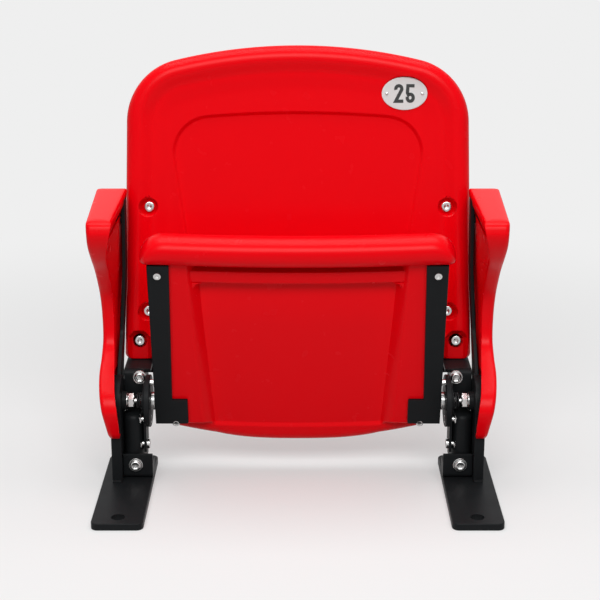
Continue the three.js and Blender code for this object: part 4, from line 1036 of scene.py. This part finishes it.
def make_seat_brackets():
    """The long arm under the seat with its foot, and the wall beside the seat that turns on the pin."""
    outer, face, front, back, deep, thick = seat_half + 5.8, -9.8, -226, 33.5, 12.2, 5
    inner, foot = outer - 29.5, outer - 46
    flat = rounded([(inner, front, 1.5), (outer, front, 1.5), (outer, back, 3), (foot, back, 3),
                    (foot, -7, 1.5), (inner + thick, -7, 2)], 5, close=True)
    wall = rounded([(front, face, 0), (back, face, 0), (back, deep, 12), (-45, deep, 6), (-110, 4, 30),
                    (front, 4, 3)], 8, close=True)
    solids = [prism(flat, face, face + thick, "z", folded), prism(wall, seat_half + 0.8, outer, "x", folded)]
    steel_pair("seat_bracket", "seat", solids, bevel=0.6)


def make_welds():
    """A rippled bead along the front foot of each upright."""
    rings = []
    radius, steps, ripple = 3.4, 56, 1.35
    for i in range(steps + 1):
        x = mix(upright_inner + 0.4, upright_inner + bar_thickness - 0.4, i / steps)
        end = min(1, i / 4, (steps - i) / 4)
        size = radius * (0.55 + 0.45 * math.sqrt(end)) * (1 + 0.07 * math.sin(i * ripple))
        slip = 0.2 * math.sin(i * ripple)
        outline = arc(0, 0, size, math.pi / 2, math.pi, 12) + [(size * 0.3, 0), (size * 0.3, size)]
        rings.append([(x + slip, bar_front - 0.4 + a * 1.15, plate_top + 0.2 + b) for a, b in outline])
    bead = loft("weld_right", rings, straight)
    for piece in (bead, mirrored("weld_left", bead)):
        dress(crisp(piece, 50), "frame", "black_steel")


# Camera, floor and light, in metres

camera_place, camera_pitch, camera_lens = (0.003, -1.9885, 0.8853), 72.835, 91.03
backdrop_tone, ambient_level = 0.863, 0.16
floor_near, floor_far, floor_size = 0.5, 1.5, 14
floor_even_share, floor_dim, floor_pale = 0.43, 0.52, 0.81


def make_camera():
    data = bpy.data.cameras.new("camera")
    data.sensor_width = 36
    data.lens = camera_lens
    data.clip_start = 0.1
    data.clip_end = 30
    camera = put("camera", data)
    camera.location = camera_place
    camera.rotation_euler = (math.radians(camera_pitch), 0, 0)
    bpy.context.scene.camera = camera


def area_light(name, location, target, width, height, power):
    data = bpy.data.lights.new(name, "AREA")
    data.shape = "RECTANGLE"
    data.size = width
    data.size_y = height
    data.energy = power
    lamp = put(name, data)
    lamp.location = location
    direction = Vector(target) - Vector(location)
    lamp.rotation_euler = direction.to_track_quat("-Z", "Y").to_euler()


def add_node(tree, kind, **values):
    """A shader node with its properties and its inputs set by name."""
    node = tree.nodes.new(kind)
    for name, value in values.items():
        if hasattr(node, name):
            setattr(node, name, value)
        else:
            node.inputs[name.replace("_", " ")].default_value = value
    return node


def grey(tone):
    return tone, tone, tone, 1


def connect(tree, *links):
    for output, socket in links:
        tree.links.new(output, socket)


def seen_rays(tree):
    """1 for the camera's rays and for those that a shiny or clear surface sends on."""
    path = tree.nodes.new("ShaderNodeLightPath")
    value = path.outputs["Is Camera Ray"]
    for name in ("Is Glossy Ray", "Is Transmission Ray"):
        larger = add_node(tree, "ShaderNodeMath", operation="MAXIMUM")
        tree.links.new(value, larger.inputs[0])
        tree.links.new(path.outputs[name], larger.inputs[1])
        value = larger.outputs[0]
    return value


def floor_paint():
    """A pale floor that is lit near the seat and fades to the backdrop's even tone."""
    material = bpy.data.materials.new("floor_paint")
    material.use_nodes = True
    tree = material.node_tree
    tree.nodes.clear()
    dim = add_node(tree, "ShaderNodeBsdfDiffuse", Color=grey(floor_dim))
    pale = add_node(tree, "ShaderNodeBsdfDiffuse", Color=grey(floor_pale))
    even = add_node(tree, "ShaderNodeEmission", Color=grey(backdrop_tone), Strength=1)
    place = tree.nodes.new("ShaderNodeTexCoord")
    reach = add_node(tree, "ShaderNodeVectorMath", operation="LENGTH")
    fade = add_node(tree, "ShaderNodeMapRange", interpolation_type="SMOOTHSTEP")
    fade.inputs["To Min"].default_value = floor_even_share
    fade.inputs["From Min"].default_value = floor_near
    fade.inputs["From Max"].default_value = floor_far
    shown, mixed, end = [tree.nodes.new(kind) for kind in (
        "ShaderNodeMixShader", "ShaderNodeMixShader", "ShaderNodeOutputMaterial")]
    connect(tree, (place.outputs["Object"], reach.inputs[0]), (reach.outputs["Value"], fade.inputs["Value"]),
            (fade.outputs["Result"], shown.inputs[0]), (pale.outputs[0], shown.inputs[1]),
            (even.outputs[0], shown.inputs[2]), (seen_rays(tree), mixed.inputs[0]),
            (dim.outputs[0], mixed.inputs[1]), (shown.outputs[0], mixed.inputs[2]),
            (mixed.outputs[0], end.inputs["Surface"]))
    return material


def make_stage():
    mesh = bpy.data.meshes.new("floor")
    far = floor_size
    mesh.from_pydata([(-far, -far, 0), (far, -far, 0), (far, far, 0), (-far, far, 0)], [], [(0, 1, 2, 3)])
    mesh.materials.append(floor_paint())
    floor = put("floor", mesh)
    world = bpy.data.worlds.new("studio")
    bpy.context.scene.world = world
    world.use_nodes = True
    tree = world.node_tree
    tree.nodes.clear()
    ambient = add_node(tree, "ShaderNodeBackground", Color=grey(1), Strength=ambient_level)
    even = add_node(tree, "ShaderNodeBackground", Color=grey(backdrop_tone), Strength=1)
    mixed = tree.nodes.new("ShaderNodeMixShader")
    end = tree.nodes.new("ShaderNodeOutputWorld")
    connect(tree, (seen_rays(tree), mixed.inputs[0]), (ambient.outputs[0], mixed.inputs[1]),
            (even.outputs[0], mixed.inputs[2]), (mixed.outputs[0], end.inputs["Surface"]))
    bpy.context.scene.view_settings.view_transform = "Standard"


def light_stage():
    area_light("key_softbox", (0, -2.6, 2.45), (0, 0, 0.33), 3.0, 1.2, 84)
    area_light("top_softbox", (0, 0.1, 2.6), (0, 0, 0.3), 2.6, 1.6, 44)


# Materials, from a first and a second tone, a range of roughness, a grain and its relief

def surface(name, tone, second, rough, grain, relief, metallic=0.0, specular=0.5, stretch=1.0):
    """Colour and roughness that drift over the piece, with a fine relief that noise draws."""
    material = bpy.data.materials.new(name)
    material.use_nodes = True
    tree = material.node_tree
    shader = tree.nodes["Principled BSDF"]
    shader.inputs["Metallic"].default_value = metallic
    shader.inputs["Specular IOR Level"].default_value = specular
    place = tree.nodes.new("ShaderNodeTexCoord")
    spread = add_node(tree, "ShaderNodeMapping", Scale=(1, 1, stretch))
    drift = add_node(tree, "ShaderNodeTexNoise", Scale=45, Detail=3)
    fine = add_node(tree, "ShaderNodeTexNoise", Scale=grain, Detail=2)
    tones = tree.nodes.new("ShaderNodeValToRGB")
    tones.color_ramp.interpolation = "B_SPLINE"
    for element, at, color in zip(tones.color_ramp.elements, (0.15, 0.85), (tone, second)):
        element.position = at
        element.color = (*color, 1)
    polish = add_node(tree, "ShaderNodeMapRange", interpolation_type="SMOOTHSTEP")
    for socket, value in zip(("From Min", "From Max", "To Min", "To Max"), (0.15, 0.85, *rough)):
        polish.inputs[socket].default_value = value
    bump = add_node(tree, "ShaderNodeBump", Strength=0.5, Distance=relief * MM)
    connect(tree, (place.outputs["Object"], spread.inputs["Vector"]),
            (place.outputs["Object"], drift.inputs["Vector"]),
            (spread.outputs["Vector"], fine.inputs["Vector"]),
            (drift.outputs[0], tones.inputs["Fac"]), (tones.outputs["Color"], shader.inputs["Base Color"]),
            (drift.outputs[0], polish.inputs["Value"]),
            (polish.outputs["Result"], shader.inputs["Roughness"]),
            (fine.outputs[0], bump.inputs["Height"]), (bump.outputs["Normal"], shader.inputs["Normal"]))
    return material


red = surface("red_plastic", (0.80, 0, 0.004), (0.79, 0, 0.0044), (0.262, 0.276), 700, 0.03, specular=0.1)
black = surface("black_steel", (0.008, 0.009, 0.010), (0.011, 0.012, 0.013), (0.40, 0.48), 500, 0.08,
                specular=0.09)
zinc = surface("zinc", (0.6, 0.6, 0.59), (0.52, 0.52, 0.52), (0.2, 0.3), 260, 0.03, metallic=1, stretch=0.1)
spring = surface("spring_steel", (0.02, 0.02, 0.022), (0.03, 0.03, 0.032), (0.34, 0.44), 400, 0.03,
                 metallic=0.6)
white = surface("white_enamel", (0.64, 0.64, 0.64), (0.66, 0.66, 0.655), (0.26, 0.33), 300, 0.02)
ink = surface("digit_ink", (0.011, 0.011, 0.012), (0.014, 0.014, 0.015), (0.3, 0.4), 300, 0.02)
slots = {"red_plastic": red, "black_steel": black, "zinc": zinc, "white_enamel": white,
         "bush_plastic": black, "spring_steel": spring}


def dress_nodes():
    """Gives the frame's own nodes their materials, and small rounds where they stay in view."""
    for part in frame["record"]["subparts"]:
        mesh = nodes[part["node"]].data
        mesh.materials.clear()
        mesh.materials.append(slots[part["material_slot"]])
    for name in ("foot_plate_right", "foot_plate_left", "back_strap_right", "back_strap_left"):
        round_edges(nodes[name], 0.7)


dress_nodes()
for step in (make_camera, make_stage, light_stage, make_back, make_seat):
    step()
for side in (-1, 1):
    make_arm(side)
for step in (back_fasteners, leg_fasteners, pivot_fasteners, seat_fasteners):
    step()
pair("return_spring", [spring_wire()], slot_name="spring_steel")
for step in (make_number_plate, make_welds, make_uprights, make_channels, make_housings, make_hinge_plates,
             make_foot_brackets, make_seat_brackets):
    step()
